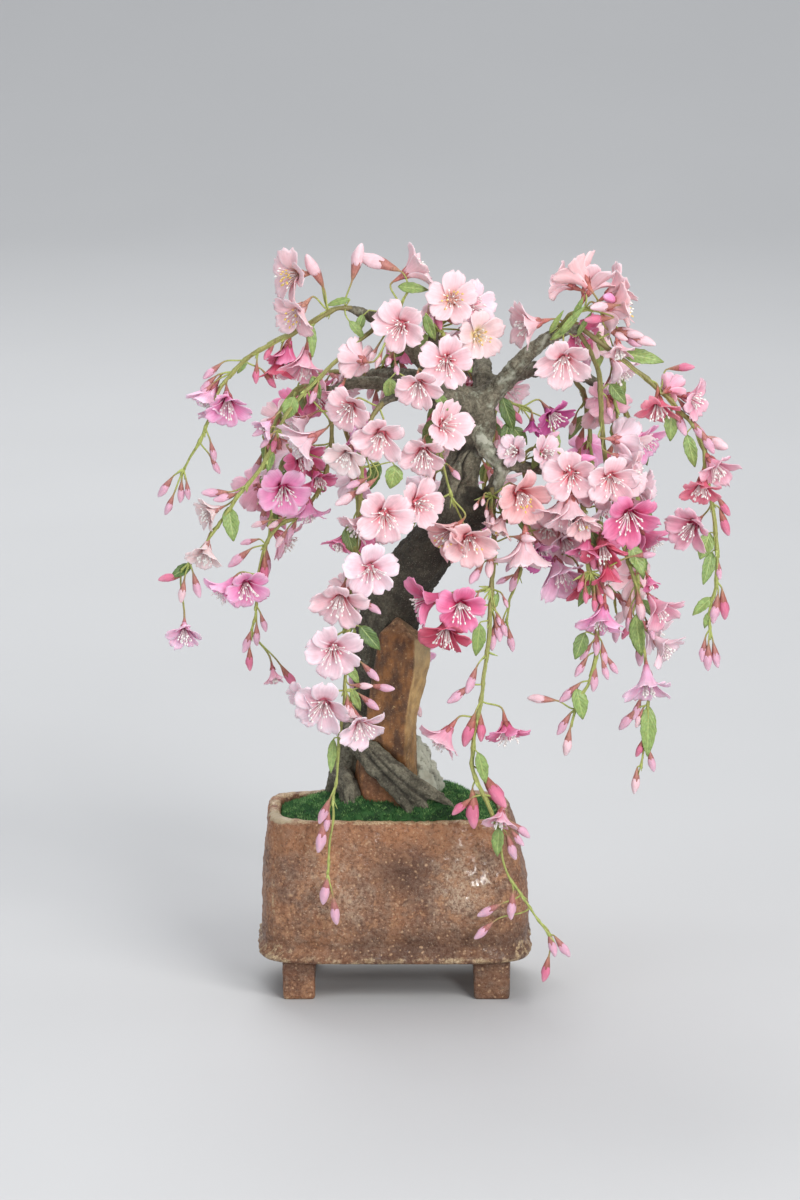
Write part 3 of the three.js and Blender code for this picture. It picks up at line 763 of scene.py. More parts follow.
def foot(across, width, side):
    """One square foot, its edges worn and its sides uneven."""
    high = FOOT_HEIGHT + FOOT_SINK
    profile = [(1.2, 0), (0.45, 0.25), (0.1, 0.8)]  # inset, height
    profile += [(0, height) for height in np.linspace(1.2, high, 18)]
    turn = np.linspace(0, 2 * np.pi, FOOT_SIDES, endpoint=False) + 0.01
    x, y = square_round(turn, FOOT_SQUARENESS)
    rings = []
    for inset, height in profile:
        flare = 1 + FOOT_TAPER * (height / FOOT_HEIGHT)
        px = across + x * (width / 2 * flare - inset)
        py = side * FOOT_SETBACK + y * (FOOT_DEPTH / 2 * flare - inset)
        rings.append(np.stack([px, py, np.full(FOOT_SIDES, height)], 1))
    middle = np.array([across, side * FOOT_SETBACK, 0])
    return skin(np.array(rings), middle, middle + [0, 0, high])


def pot(material):
    """The pot's body and its four feet, joined into one."""
    mesh = pot_shell()
    heap = Heap()
    for across, width in FEET:
        for side in (-1, 1):
            heap.add(foot(across, width, side))
    feet = shown("feet", heap.mesh("feet"))
    body = shown("body", mesh)
    whole = changed(body, "BOOLEAN", operation="UNION", solver="EXACT", object=feet)
    for part in (feet, body):
        bpy.data.objects.remove(part)
    points = points_of(whole)
    height = points[:, 2]
    legs = smooth_step(21, 19, height)
    lean = legs * (0.25 * layered(points / 3.0) + 0.3 * noise(points / 9))
    points += normals_of(whole) * (lean * smooth_step(0, 1.5, height))[:, None]
    move_points(whole, points)
    paint_pot(whole, points)
    whole.shade_smooth()
    piece("pot_body", whole, material, ["pot"])


def blob(x, height, across, up, half_width, half_height):
    """1 at a spot on the pot's front or back, and falling away round it."""
    return np.exp(-(((x - across) / half_width) ** 2) - ((height - up) / half_height) ** 2)


def worn_clay_and_highlight(points, x, height, front):
    """Where the clay is worn pale: the lip, the flange, the sill under it, one corner and the soles; on
    the flange's top also a painted highlight where the ledge catches the light.
    """
    wall = height > FOOT_HEIGHT - 0.2
    rim = smooth_step(88.5, 90.5, height)
    corners = smooth_step(40, 62, np.abs(x + 2))
    crumbs = 0.6 + 0.9 * noise(points / 1.8 + 55)
    top = 27 + 4 * corners
    # cream crumbs along the flange, and a painted highlight along its top where the ledge catches the
    # light
    base = smooth_step(top, top - 3, height) * wall * crumbs * (0.55 + 0.5 * corners)
    sill = 0.75 * smooth_step(25, 23, height) * wall
    line = hump(x - WORN_LINE, 1.1) * front * smooth_step(28, 34, height)
    line = line * smooth_step(64, 56, height) * smooth_step(-0.5, 0.4, noise(points / 4.0 + 33))
    soles = 0.6 * smooth_step(2.5, 0.5, height)
    return np.maximum.reduce([rim, base, sill, line, soles])


def paint_pot(mesh, points):
    """Where the clay is worn, glazed, dark or creamy, with glossy spots that carry painted sheen and
    glints, a painted highlight on the flange's top and a painted shadow over it.
    """
    x, y, height = points.T
    front = smooth_step(10, -20, y)
    grain = layered(points / 5.0, 2)
    edge = np.clip(worn_clay_and_highlight(points, x, height, front) * (0.75 + 0.5 * grain), 0, 1)
    # glossy spots: a thicker coat, and in pot_finish painted sheen and glints over them
    shine = blob(x, height, *SHINE) + 0.45 * blob(x, height, *FAINT_SHINE)
    patch = blob(x, height, *DARK_PATCH) * front
    glaze_and_sheen = np.clip((0.2 + shine * front) * (0.8 + 0.5 * grain) * (1 - 0.8 * patch), 0, 1)
    inner = smooth_step(89, 86, height) * (np.abs(x + 2.5) < 59) * (np.abs(y) < 33)
    paint_on(mesh, {"wear_and_painted_light": np.stack([edge, glaze_and_sheen, inner * (height > 29)], 1)})
    low = smooth_step(48, 30, height) * (0.4 + 0.6 * smooth_step(-50, 5, x))
    # painted shadow in a band just over the flange
    painted_ledge_shadow = 0.85 * hump(height - 29.5, 2.6) * smooth_step(-62, -20, x)
    low = np.maximum.reduce([low * (0.8 + 0.4 * noise(points / 15.0 + 7)), patch, painted_ledge_shadow])
    wander = noise(points / 5.0 + 90)
    left = smooth_step(-40, -60, x + 6 * wander) * front
    cream = left * smooth_step(87, 90.5, height + 2 * wander)
    orange = smooth_step(-30, -52, x) * front * smooth_step(70, 80, height) * (1 - cream)
    orange = np.maximum(orange, 0.6 * smooth_step(74, 86, height) * front)
    paint_on(mesh, {"band": np.clip(np.stack([low, cream, orange], 1), 0, 1)})


# The moss's bed, as wide and deep as the pot's inside at the moss.
BED_MIDDLE = (LEFT[-2] + RIGHT[-2]) / 2
BED_HALF_WIDTH = (RIGHT[-2] - LEFT[-2]) / 2 - WALL
BED_HALF_DEPTH = HALF_DEPTH[-2] - WALL
# Mounds in the moss: across and back of the middle, radius and height.
MOUNDS = [
    (-26, -17, 7, 3.5), (-16, -21, 8, 4), (-6, -22, 7, 3.5), (8, -26, 8, 5.0), (20, -24, 8, 5.0),
    (32, -16, 8, 4), (34, 0, 10, 5), (22, 14, 12, 5), (-40, 0, 9, 3), (-6, 22, 14, 5),
]


def bed_shares(x, y):
    """Places seen from above, from -1 to 1 across the moss's bed and from front to back."""
    return (x - BED_MIDDLE) / BED_HALF_WIDTH, y / BED_HALF_DEPTH


def moss_height(x, y):
    """Height of the moss at a place seen from above."""
    across, back = bed_shares(x, y)
    share = np.clip((np.abs(across) ** 4 + np.abs(back) ** 4) ** 0.25, 0, 1)
    lumps = noise(np.stack([x, y, np.zeros_like(x)], -1).reshape(-1, 3) / 9).reshape(x.shape)
    heap = (MOSS_CROWN - MOSS_EDGE) * (1 - share**2)
    for mx, my, radius, height in MOUNDS:
        gap = ((x - mx) ** 2 + (y - my) ** 2) / radius**2
        heap = heap + height * np.exp(-gap) * (1 - share**6)
    return MOSS_EDGE - 0.5 + heap + 1.3 * lumps * (1 - share**4)


MOSS_SIDES = 220
MOSS_TUFTS = 8000
TUFT_BLADES = 3
BLADE_WIDTH = 0.22


def moss(material):
    """A close carpet of moss over the soil: a lumpy mound under thousands of small tufts."""
    low = SOIL_TOP + GAP
    edge = [(WALL + GAP, height) for height in (low, 82, 84, 86)]
    spread = [(WALL + GAP + 0.35 + 0.9 * i, MOSS_EDGE) for i in range(33)]
    rings = pot_rings(edge + spread, MOSS_SIDES)
    over = rings[len(edge) :]
    over[..., 2] = moss_height(over[..., 0], over[..., 1])
    middle = rings[-1].mean(0)
    points, faces = skin(rings, [middle[0], 0, low], middle)
    mesh = mesh_of("mound", points, faces, {})
    grain = 0.7 * layered(points / 2.4, 2) + 0.3 * noise(points / 0.9)
    points = points + normals_of(mesh) * (grain * smooth_step(84, 87, points[:, 2]))[:, None]
    heap = Heap("tuft")
    bright = smooth_step(-0.2, 0.7, layered(points / 6.0, 2))
    tip = smooth_step(-0.2, 0.9, grain)
    heap.add((points, faces), tuft=np.stack([0.5 * tip, bright, bright], 1))
    add_tufts(heap)
    carpet = heap.mesh("moss_carpet")
    bpy.data.meshes.remove(mesh)
    piece("moss_carpet", carpet, material, ["moss"])


def add_tufts(heap):
    """Pointed blades of moss, three to a tuft."""
    rng = np.random.default_rng(11)
    x = BED_MIDDLE + BED_HALF_WIDTH * rng.uniform(-1, 1, 2 * MOSS_TUFTS)
    y = BED_HALF_DEPTH * rng.uniform(-1, 1, 2 * MOSS_TUFTS)
    across, back = bed_shares(x, y)
    inside = np.abs(across) ** 5 + np.abs(back) ** 5 < 0.96
    x, y = x[inside][:MOSS_TUFTS], y[inside][:MOSS_TUFTS]
    feet = np.stack([x, y, moss_height(x, y) - 0.4], 1)
    feet[:, 2] += 0.6 * layered(feet / 2.4, 2)
    bright = smooth_step(-0.5, 1.1, layered(feet / 6.0, 2) + rng.normal(0, 0.5, len(feet)))
    zero = np.zeros(len(feet))
    for _ in range(TUFT_BLADES):
        turn = rng.uniform(0, 2 * np.pi, len(feet))
        lean = rng.uniform(0.15, 0.95, len(feet))
        reach = rng.uniform(1.1, 2.6, len(feet))
        cos, sin = np.cos(turn), np.sin(turn)
        way = np.stack([cos * lean, sin * lean, zero + 1], 1)
        tip = feet + unit(way) * reach[:, None]
        side = np.stack([-sin, cos, zero], 1) * BLADE_WIDTH
        out = np.stack([cos, sin, zero], 1) * BLADE_WIDTH
        base = [feet + side, feet - side * 0.5 + out, feet - side * 0.5 - out]
        points = np.stack([*base, tip], 1).reshape(-1, 3)
        first = 4 * np.arange(len(feet))[:, None]
        corners = [[0, 1, 3, 3], [1, 2, 3, 3], [2, 0, 3, 3], [0, 2, 1, 1]]
        faces = (first[:, None] + np.array(corners)[None]).reshape(-1, 4)
        high = np.tile([0.1, 0.1, 0.1, 1.0], len(feet))
        light = np.repeat(bright, 4)
        heap.add((points, faces), tuft=np.stack([high, light, light], 1))


# ------------------------------------------------------------------ stone
STONE_VOXEL = 0.9


def stone(material):
    """An upright split stone: flat faces, worn corners and shallow chips."""
    mesh = remeshed(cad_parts["stone"].data.copy(), STONE_VOXEL)
    points = evened(mesh, points_of(mesh), 6)
    move_points(mesh, points)
    normal = evened(mesh, normals_of(mesh), 3)
    side = unit(normal)
    streaks = noise(points / [4.2, 4.2, 18.0] + 5)
    facets = 0.5 * noise(points / 8.0 + 31)
    chips = 0.32 * layered(points / 4.0 + 12) + 0.16 * noise(points / 1.5)
    flat = smooth_step(0.75, 0.4, np.abs(normal[:, 2]))
    push = flat * 0.25 * streaks + facets + chips
    points = points + side * push[:, None]
    move_points(mesh, points)
    top = smooth_step(0.35, 0.7, side[:, 2])
    right = smooth_step(0.25, 0.6, side[:, 0])
    low, high = points[:, 2].min(), points[:, 2].max()
    height = (points[:, 2] - low) / (high - low)
    paint_on(mesh, {"face": np.stack([top, right, height], 1)})
    mesh.shade_smooth()
    piece("split_stone", mesh, material, ["stone"])


# ------------------------------------------------------------------ tree
# Each limb lists [across, up, back, radius] along its length.
LIMBS = {
    "trunk": [
        (-9, -114, 7, 18), (-9, -98, 9, 17), (-8, -60, 13, 16), (-5, -9, 12, 15.5),
        (4, 10, 10, 14), (12, 22, 8, 13.5), (23, 36, 6, 12.5), (29, 50, 3, 10.5), (31, 61, 1, 8.5),
        (34, 71, 0, 7), (39, 78, -1, 6.5), (41, 87, 0, 6.5), (41, 97, 0, 7), (41, 103, 0, 7),
    ],
    "trunk_back": [(22, 40, 12, 10), (28, 58, 11, 8), (32, 75, 8, 7), (37, 90, 4, 6)],
    "root_upper": [
        (-22, -57, 8, 5), (-19, -66, -5, 4.4), (-11, -76, -15, 3.8), (0, -85, -19, 3.6),
        (10, -92.5, -21, 3.4), (19, -98.5, -20, 3), (25, -102, -19, 2.3), (28, -109, -18, 1.8),
    ],
    "root_middle": [
        (-24, -60, 8, 4.4), (-20, -69, -7, 3.9), (-14.5, -76.5, -16.5, 3.8),
        (-5, -87, -21.5, 3.8), (4, -95, -23, 3.6), (11, -101.5, -22, 3), (15, -109, -21, 2.4),
    ],
    "root_lower": [
        (-27, -62, 6, 4.4), (-23, -71, -9, 3.9), (-18, -79, -15.5, 3.8), (-9, -89, -21, 3.7),
        (-2, -96.5, -23, 3.4), (3.5, -103, -23, 3), (7, -110, -22, 2.4),
    ],
    "root_right": [
        (-3, -58, 15, 9), (2, -71, 13, 7.5), (7, -79, 10, 8.5), (11, -87, 7, 9), (14, -96, 4, 9),
        (15, -108, 2, 8),
    ],
    "root_left": [(-14, -62, 13, 11), (-25, -80, 9, 9), (-30, -98, 5, 8), (-31, -112, 2, 7)],
    "root_fold": [
        (-30, -88, 3, 5), (-28, -90, -6, 5.2), (-26, -94, -12, 5.8), (-24, -106, -15, 5.5),
    ],
    "root_back": [(-8, -70, 16, 11), (4, -92, 17, 8), (16, -106, 18, 6)],
    "right": [
        (40, 98, 0, 7), (50, 107, -2, 4.9), (65, 124, -6, 4.3), (80, 134, -8, 3.5),
        (92, 136, -9, 2.6),
    ],
    "left": [
        (41, 98, 0, 7), (28, 104, -3, 5.5), (12, 118, -8, 4.5), (-2, 135, -12, 3.6),
        (-15, 142, -14, 3), (-26, 146, -15, 2.2),
    ],
    "hollow_rim": [
        (34, 40, 2, 8), (40, 44, 0, 7), (44, 51, -3, 5), (46.5, 56, -6, 3.8), (48.5, 63, -10, 3),
    ],
    "top": [(18, 112, -6, 4), (17, 132, -2, 3), (23, 146, 2, 2)],
    "fork": [
        (39, 86, -1, 5.5), (43, 76, -7, 4.4), (49, 68.5, -11, 4.2), (50.5, 62, -12, 3.4),
        (47, 53, -13, 2.3),
    ],
    "side": [(46, 71, -10, 4), (58, 67, -9, 3.4), (72, 65, -9, 3), (86, 62, -11, 2.2)],
    "middle_left": [(38, 92, 2, 6), (12, 102, 6, 4.5), (-20, 109, 3, 3.5), (-36, 104, 0, 2.4)],
    "front": [(39, 94, -2, 6), (22, 102, -20, 4.5), (4, 104, -36, 3.4), (-10, 98, -44, 2.4)],
    "back_left": [(39, 96, 4, 6), (14, 110, 30, 4.6), (-16, 112, 54, 3.4), (-34, 104, 68, 2.4)],
    "back_middle": [(41, 98, 4, 6), (41, 118, 34, 4.6), (36, 117, 66, 3.4), (29, 104, 86, 2.4)],
    "back_right": [(41, 98, 3, 6), (60, 114, 28, 4.6), (86, 114, 50, 3.4), (108, 102, 64, 2.4)],
}
LIMB_STEP = 1.2
LIMB_APART = 100  # in the noise, so that no two limbs have the same grooves
LIMB_SIDES = 24
ROUGH_VOXEL = 1.2
BARK_VOXEL = 0.92
BATCH = 2000  # points measured at a time
GROOVE = 3.2  # about the distance between the grooves of the bark
GROOVE_LENGTH = 22
HOLLOW = (36.5, 52, -9)  # middle of the hollow under the fork
HOLLOW_RADIUS = 8
# The crack, the arch, the creases and the hollow are pressed into the bark and darkened with painted
# shade.
CRACK = [(33.5, 74), (31, 68), (31.5, 60), (28, 51)]  # across and up
ARCH = [(18, 46), (20, 60), (24, 70), (32, 76.5), (40, 73)]  # the recess round the flap, pressed in and darkened with painted shade
FORK = [(40, 82), (44, 75), (49, 68.5), (50.5, 60)]  # the pale face of the fork
CREASES = [  # between the strands of the front root
    [(-13.5, -75.5), (-3, -86), (6.5, -94), (15, -101)],
    [(-17, -78), (-7.5, -88), (0.5, -95.5), (7, -103)],
]
ROOT_CREST = [(-10, -71), (1, -79), (12, -88), (25, -101)]  # the front root's pale upper edge
FLARE = (15, -82)  # pale lichen on the right root
FLARE_RADIUS = 24


def limb_lines():
    """Every limb's middle line, with its radius at each point."""
    found = {}
    for name, stations in LIMBS.items():
        stations = np.array(stations, float)
        line, share = route(at(stations[:, :3]), spacing=LIMB_STEP)
        marks = np.linspace(0, 1, len(stations))
        found[name] = (line, np.interp(share, marks, stations[:, 3]))
    return found


def nearest_limb(points, lines):
    """For each point: angle round the nearest limb, length along it, its radius and its number."""
    axis, right, up, radius, length, number = [], [], [], [], [], []
    for i, (line, radii) in enumerate(lines.values()):
        sides = sideways(line)
        axis.append(line)
        right.append(sides[0])
        up.append(sides[1])
        radius.append(radii)
        length.append(LIMB_STEP * np.arange(len(line)) + LIMB_APART * i)
        number.append(np.full(len(line), i))
    axis, right, up = map(np.vstack, (axis, right, up))
    radius, length, number = map(np.concatenate, (radius, length, number))
    nearest = np.empty(len(points), int)
    for first in range(0, len(points), BATCH):
        part = slice(first, first + BATCH)
        gap = np.linalg.norm(points[part, None] - axis[None], axis=2) / radius
        nearest[part] = gap.argmin(1)
    away = points - axis[nearest]
    turn = np.arctan2((away * up[nearest]).sum(1), (away * right[nearest]).sum(1))
    return turn, length[nearest], radius[nearest], number[nearest]


def across_and_up(points):
    """Where points are seen from in front, in the measures that at() takes."""
    sin, cos = math.sin(EYE_ABOVE), math.cos(EYE_ABOVE)
    rise = points[:, 2] - EYE_HEIGHT
    away = EYE_DISTANCE + points[:, 1] * cos - rise * sin
    up = (rise * cos + points[:, 1] * sin) * EYE_DISTANCE / away
    return np.stack([points[:, 0] * EYE_DISTANCE / away, up], 1)


def gap_to(places, line):
    """Distance of each place from a line of points."""
    line, _ = route(np.column_stack([line, np.zeros(len(line))]), spacing=0.5)
    gaps = np.linalg.norm(places[:, None] - line[None, :, :2], axis=2)
    return gaps.min(1)


def hollowed(points):
    """Bark with the hollow under the fork pressed into it."""
    away = points - at(HOLLOW)
    gap = np.linalg.norm(away, axis=1)
    inside = gap < HOLLOW_RADIUS
    points = points.copy()
    points[inside] = at(HOLLOW) + unit(away[inside]) * HOLLOW_RADIUS
    return points


def limbs_joined(lines):
    """All the limbs as one even skin, and its points."""
    heap = Heap()
    for line, radii in lines.values():
        heap.add(tube(line, radii, LIMB_SIDES))
    mesh = remeshed(heap.mesh("limbs"), ROUGH_VOXEL)
    move_points(mesh, hollowed(evened(mesh, points_of(mesh), 2)))
    mesh = remeshed(mesh, BARK_VOXEL)
    points = evened(mesh, points_of(mesh), 3)
    move_points(mesh, points)
    return mesh, points


def bark_marks(points, lines):
    """What the bark follows at each point of the limbs' skin: its limb, and folds from 0 to 1."""
    turn, length, radius, number = nearest_limb(points, lines)
    names = list(lines)

    def on(*wanted):
        return np.isin(number, [i for i, name in enumerate(names) if name.startswith(wanted)])

    root = on("root")
    places = across_and_up(points)
    front = points[:, 1] < at((30, 60, 2))[1]
    swirl = np.stack([np.cos(turn) * radius, np.sin(turn) * radius], 1) / GROOVE
    lanes = np.column_stack([swirl, length / GROOVE_LENGTH]) + 0.3 * noise(points / 7)[:, None]
    crease = sum(hump(gap_to(places, line), 1.0) for line in CREASES)
    flare = smooth_step(1, 0.5, np.linalg.norm(places - FLARE, axis=1) / FLARE_RADIUS)
    return SimpleNamespace(
        radius=radius, root=root, right=on("right"), places=places, front=front,
        groove=smooth_step(0.3, 0.0, np.abs(noise(lanes))) * (0.7 + 0.3 * root),
        fine=np.abs(noise(lanes * [2.1, 2.1, 4.0] + 9)),
        crack=hump(gap_to(places, CRACK), 0.9) * front,
        arch=hump(gap_to(places, ARCH), 3.2) * front * on("trunk"),
        crease=crease * root * (points[:, 1] < -5),
        flare=flare * on("root_right", "root_back"),
    )


def bark_push(points, mark):
    """How far the bark stands out from the limbs' skin at each point."""
    size = np.clip(mark.radius / 12, 0.2, 1)
    knobs = layered(points / 4.0 + 60, 2)
    grain = layered(points / 1.7, 2)
    push = size * (1.4 * noise(points / 13 + 21) + 0.6 * knobs)
    push = push - 0.8 * mark.groove - 0.25 * (0.4 - mark.fine) - 2.2 * mark.crack
    push -= 1.5 * mark.crease + 1.8 * mark.arch
    push += (0.2 + 0.25 * size) * grain + 0.4 * (mark.radius < 8) * knobs
    return push + mark.flare * (1.3 * knobs + 0.9 * noise(points / 6 + 80) + 0.3 * grain)


def bark_paint(points, mark):
    """How much painted shade lies in the bark's grooves and recesses, how full of lichen and how pale the
    bark is at each of its own points.
    """
    across, up = mark.places.T
    depth = np.linalg.norm(points - at(HOLLOW), axis=1) - HOLLOW_RADIUS
    off = np.linalg.norm(mark.places - HOLLOW[:2], axis=1) + 2.5 * noise(points / 3.5 + 15)
    dent = 0.85 * smooth_step(2, 0.5, depth) * smooth_step(8, 4.5, off)
    # Painted shade: darker in the grooves, the crack, the hollow under the fork (dent), the creases
    # between the root's strands and the recess round the flap.
    dark = np.maximum(0.6 * mark.groove + 0.25 * smooth_step(0.12, 0, mark.fine), mark.crack)
    dark = np.maximum.reduce([dark, dent, 0.85 * mark.crease, 0.85 * mark.arch])
    patches = smooth_step(-0.1, 0.7, layered(points / 4.5 + 50, 2))
    # Paler higher up: partly paler, lichen-grown bark and partly painted light, the lower trunk kept
    # darker as painted shade from the flowers over it.
    high = smooth_step(38, 62, up)
    fork = hump(gap_to(mark.places, FORK), 5) * mark.front * (0.6 + 0.7 * patches)
    fresh = 0.3 * mark.right + fork
    shaded = smooth_step(8, -8, across) * smooth_step(35, 10, up) * (1 - mark.root)
    crest = smooth_step(3, 0, gap_to(mark.places, ROOT_CREST)) * mark.root
    lichen = 0.45 * patches * (0.6 + 0.4 * high) + 0.8 * mark.flare + 0.1 * high
    lichen = lichen + 0.95 * fresh + 0.2 * shaded
    pale = 0.8 * high + mark.flare + 0.65 * mark.root + 0.7 * crest + 0.5 * fresh + 0.25 * shaded
    return np.clip(np.stack([dark, lichen, pale], 1), 0, 1)


def tree(material):
    """Old rough bark over the trunk, roots and branches, all one body."""
    lines = limb_lines()
    mesh, points = limbs_joined(lines)
    mark = bark_marks(points, lines)
    points = points + evened(mesh, normals_of(mesh), 2) * bark_push(points, mark)[:, None]
    move_points(mesh, points)
    paint_on(mesh, {"wear_and_painted_light": bark_paint(points, mark)})
    mesh.shade_smooth()
    piece("old_wood", mesh, material, ["tree"])


# ------------------------------------------------------------------ flowers
# A tone is the colours of a flower's throat, body and rim, and how yellow its stamens are.
SCREEN_TONES = {
    "salmon": ((230, 116, 130), (238, 192, 200), (244, 222, 227), 0),
    "peach": ((226, 112, 120), (240, 190, 193), (246, 216, 219), 0.3),
    "pale": ((230, 134, 154), (238, 202, 213), (245, 227, 234), 0),
    "white": ((216, 152, 156), (236, 209, 209), (243, 226, 227), 0),
    "cream": ((250, 226, 168), (238, 206, 207), (242, 218, 221), 0.7),
    "coral": ((212, 88, 96), (236, 174, 176), (244, 208, 209), 0.4),
    "golden": ((238, 176, 158), (235, 196, 202), (241, 216, 221), 0.7),
    "lavender": ((206, 84, 134), (240, 184, 214), (247, 219, 235), 0),
    "lilac": ((196, 44, 104), (238, 150, 196), (248, 206, 230), 0),
    "pink": ((200, 66, 104), (231, 160, 182), (244, 209, 220), 0),
    "hot": ((172, 20, 70), (220, 102, 146), (240, 166, 200), 0),
    "warm": ((178, 32, 62), (216, 104, 128), (237, 166, 180), 0),
    "rose": ((140, 16, 46), (200, 72, 100), (226, 128, 150), 0),
    "magenta": ((120, 16, 72), (190, 78, 146), (220, 134, 188), 0),
    "bud": ((186, 104, 130), (218, 170, 190), (236, 212, 224), 0),
    "hotbud": ((170, 54, 86), (210, 118, 146), (232, 180, 196), 0),
    "palebud": ((204, 128, 138), (233, 198, 205), (244, 226, 230), 0),
}
TONES = {name: (*(linear(*x) for x in tone[:3]), tone[3]) for name, tone in SCREEN_TONES.items()}
ANTHER = linear(254, 252, 247)
YELLOW_ANTHER = linear(246, 214, 112)
FILAMENT = linear(252, 240, 238)
GREEN_STALK = linear(166, 176, 96)
BROWN_STALK = linear(154, 130, 88)
CALYX = linear(168, 118, 92)
CALYX_TIP = linear(162, 104, 88)
TWIG_OLD = linear(122, 112, 70)
TWIG_MIDDLE = linear(146, 146, 84)
TWIG_YOUNG = linear(158, 166, 92)
BRACT = linear(176, 190, 110)
LEAF_LIGHT = linear(146, 170, 98)
LEAF_DARK = linear(76, 104, 52)

PETAL_ROWS = 7
PETAL_COLUMNS = 10
THROAT = 0.13  # radius of the throat over the mouth's
CALYX_LENGTH = 0.5  # over the mouth's radius
WIDTH_AT = [0, 0.2, 0.4, 0.6, 0.7, 0.8, 0.88, 0.95, 1.1]
HALF_WIDTH = [0.13, 0.22, 0.34, 0.43, 0.45, 0.44, 0.4, 0.31, 0.15]
LEAN_AT = np.array([0, 0.2, 0.4, 0.6, 0.8, 1, 1.1])
LEAN_OPEN = np.array([14, 38, 60, 72, 80, 90, 97])  # degrees away from the flower's middle line
LEAN_SHUT = np.array([8, 15, 26, 36, 46, 60, 66])
FINE = np.linspace(0, 1.1, 56)  # steps along a petal
THROAT_MARK = 0.12  # share of a petal's length at which the throat is closed
THROAT_SIDES = 10


def facing(turn, tilt):
    """The way a flower looks: turn 0 is front, positive to the onlooker's right; tilt is up."""
    turn, tilt = math.radians(turn), math.radians(tilt)
    return np.array([
        math.sin(turn) * math.cos(tilt), -math.cos(turn) * math.cos(tilt), math.sin(tilt)
    ])


def petal_line(spread):
    """How a petal runs from the throat to the mouth: lean, distance out and height at FINE."""
    lean = np.interp(FINE, LEAN_AT, LEAN_SHUT * (1 - spread) + LEAN_OPEN * spread)
    lean = np.radians(np.convolve(np.pad(lean, 4, "edge"), np.ones(9) / 9, "valid"))
    out = np.concatenate([[0], np.cumsum(np.sin(lean))[:-1]]) * FINE[1]
    rise = np.concatenate([[0], np.cumsum(np.cos(lean))[:-1]]) * FINE[1]
    size = (1 - THROAT) / np.interp(1, FINE, out)
    return lean, THROAT + size * out, size * (rise - np.interp(1, FINE, rise))


def petal_sheet(spread, rng):
    """One petal of a flower one unit in radius, with its mouth's middle at the origin, looking
    along +Z, and the petal along +X. Gives its points and each one's share across and along."""
    rows = np.linspace(0, 1, PETAL_ROWS + 1) ** 0.85
    columns = np.linspace(-1, 1, PETAL_COLUMNS + 1)
    u, v = np.meshgrid(rows, columns, indexing="ij")
    notch = rng.uniform(0.05, 0.14) * hump(v - rng.normal(0, 0.1), 0.17)
    teeth = rng.uniform(0.02, 0.045) * np.cos(rng.uniform(9, 13) * v + rng.uniform(0, 6))
    length = 1.01 - 0.15 * np.abs(v) ** 2.8 - notch + teeth * smooth_step(0.1, 0.5, np.abs(v))
    u = u * (1 + (length * rng.uniform(0.94, 1.06) - 1) * u)
    lean, out, rise = petal_line(spread)
    reach, height, lean = (np.interp(u, FINE, values) for values in (out, rise, lean))
    half = np.interp(u, WIDTH_AT, HALF_WIDTH) * rng.uniform(0.94, 1.06)
    half = np.maximum(half, (0.72 - 0.25 * spread) * reach * smooth_step(1.0, 0.7, u))
    bend = reach * (1 + 1.2 * u**2)
    turn = v * half / bend
    wave = 0.045 * np.sin(1.2 * np.pi * v + rng.uniform(0, 6)) * u**2
    wave += 0.018 * np.sin(4 * np.pi * v + rng.uniform(0, 6)) * u**6
    crease = -0.03 * hump(v, 0.28) * np.sin(np.pi * np.clip(u, 0, 1))
    curl = rng.normal(0, 0.12) * u**3 + rng.normal(0, 0.07) * v * u**2
    lift = bend * (1 - np.cos(turn)) + wave + crease + curl + 0.07 * v * np.minimum(1.6 * u, 1)
    side = bend * np.sin(turn) + rng.normal(0, 0.04) * u**2
    x = reach - np.cos(lean) * lift
    z = height + np.sin(lean) * lift
    return np.stack([x, side, z], -1), u, v


def axes_of(way, roll):
    """Columns that turn +Z into the way a flower looks."""
    right = unit(np.cross([0, 0, 1.0], way) + 1e-6)
    up = np.cross(way, right)
    cos, sin = math.cos(roll), math.sin(roll)
    return np.stack([right * cos + up * sin, up * cos - right * sin, way], 1)


def around(points, angle):
    """Points turned about +Z."""
    cos, sin = math.cos(angle), math.sin(angle)
    x, y, z = np.moveaxis(points, -1, 0)
    return np.stack([x * cos - y * sin, x * sin + y * cos, z], -1)


def sheet_shares(rows, columns):
    """Shares 0 to 1 along and -1 to 1 across a sheet, for a grid of its points."""
    return np.meshgrid(np.linspace(0, 1, rows), np.linspace(-1, 1, columns), indexing="ij")


def sheet_places(u, v, seed):
    """The paint place for each point of a sheet: across, along and its seed."""
    return np.stack([v, u, np.full(u.shape, seed)], -1).reshape(-1, 3)


def blend(shares, *colours):
    """Colours at shares 0 to 1 of the way through a list of (share, colour)."""
    marks = [share for share, _ in colours]
    channels = zip(*(colour for _, colour in colours))
    return np.stack([np.interp(shares, marks, values) for values in channels], 1)


def flushed(colour, heart):
    """A calyx colour with some of the colour of the flower's heart."""
    return tuple(0.7 * a + 0.3 * b for a, b in zip(colour, heart))


def ring_tints(shares, sides, *colours):
    """Colours for each point of a tube, whose rings are at these shares of its length."""
    return np.stack([per_ring(values, sides) for values in blend(shares, *colours).T], 1)


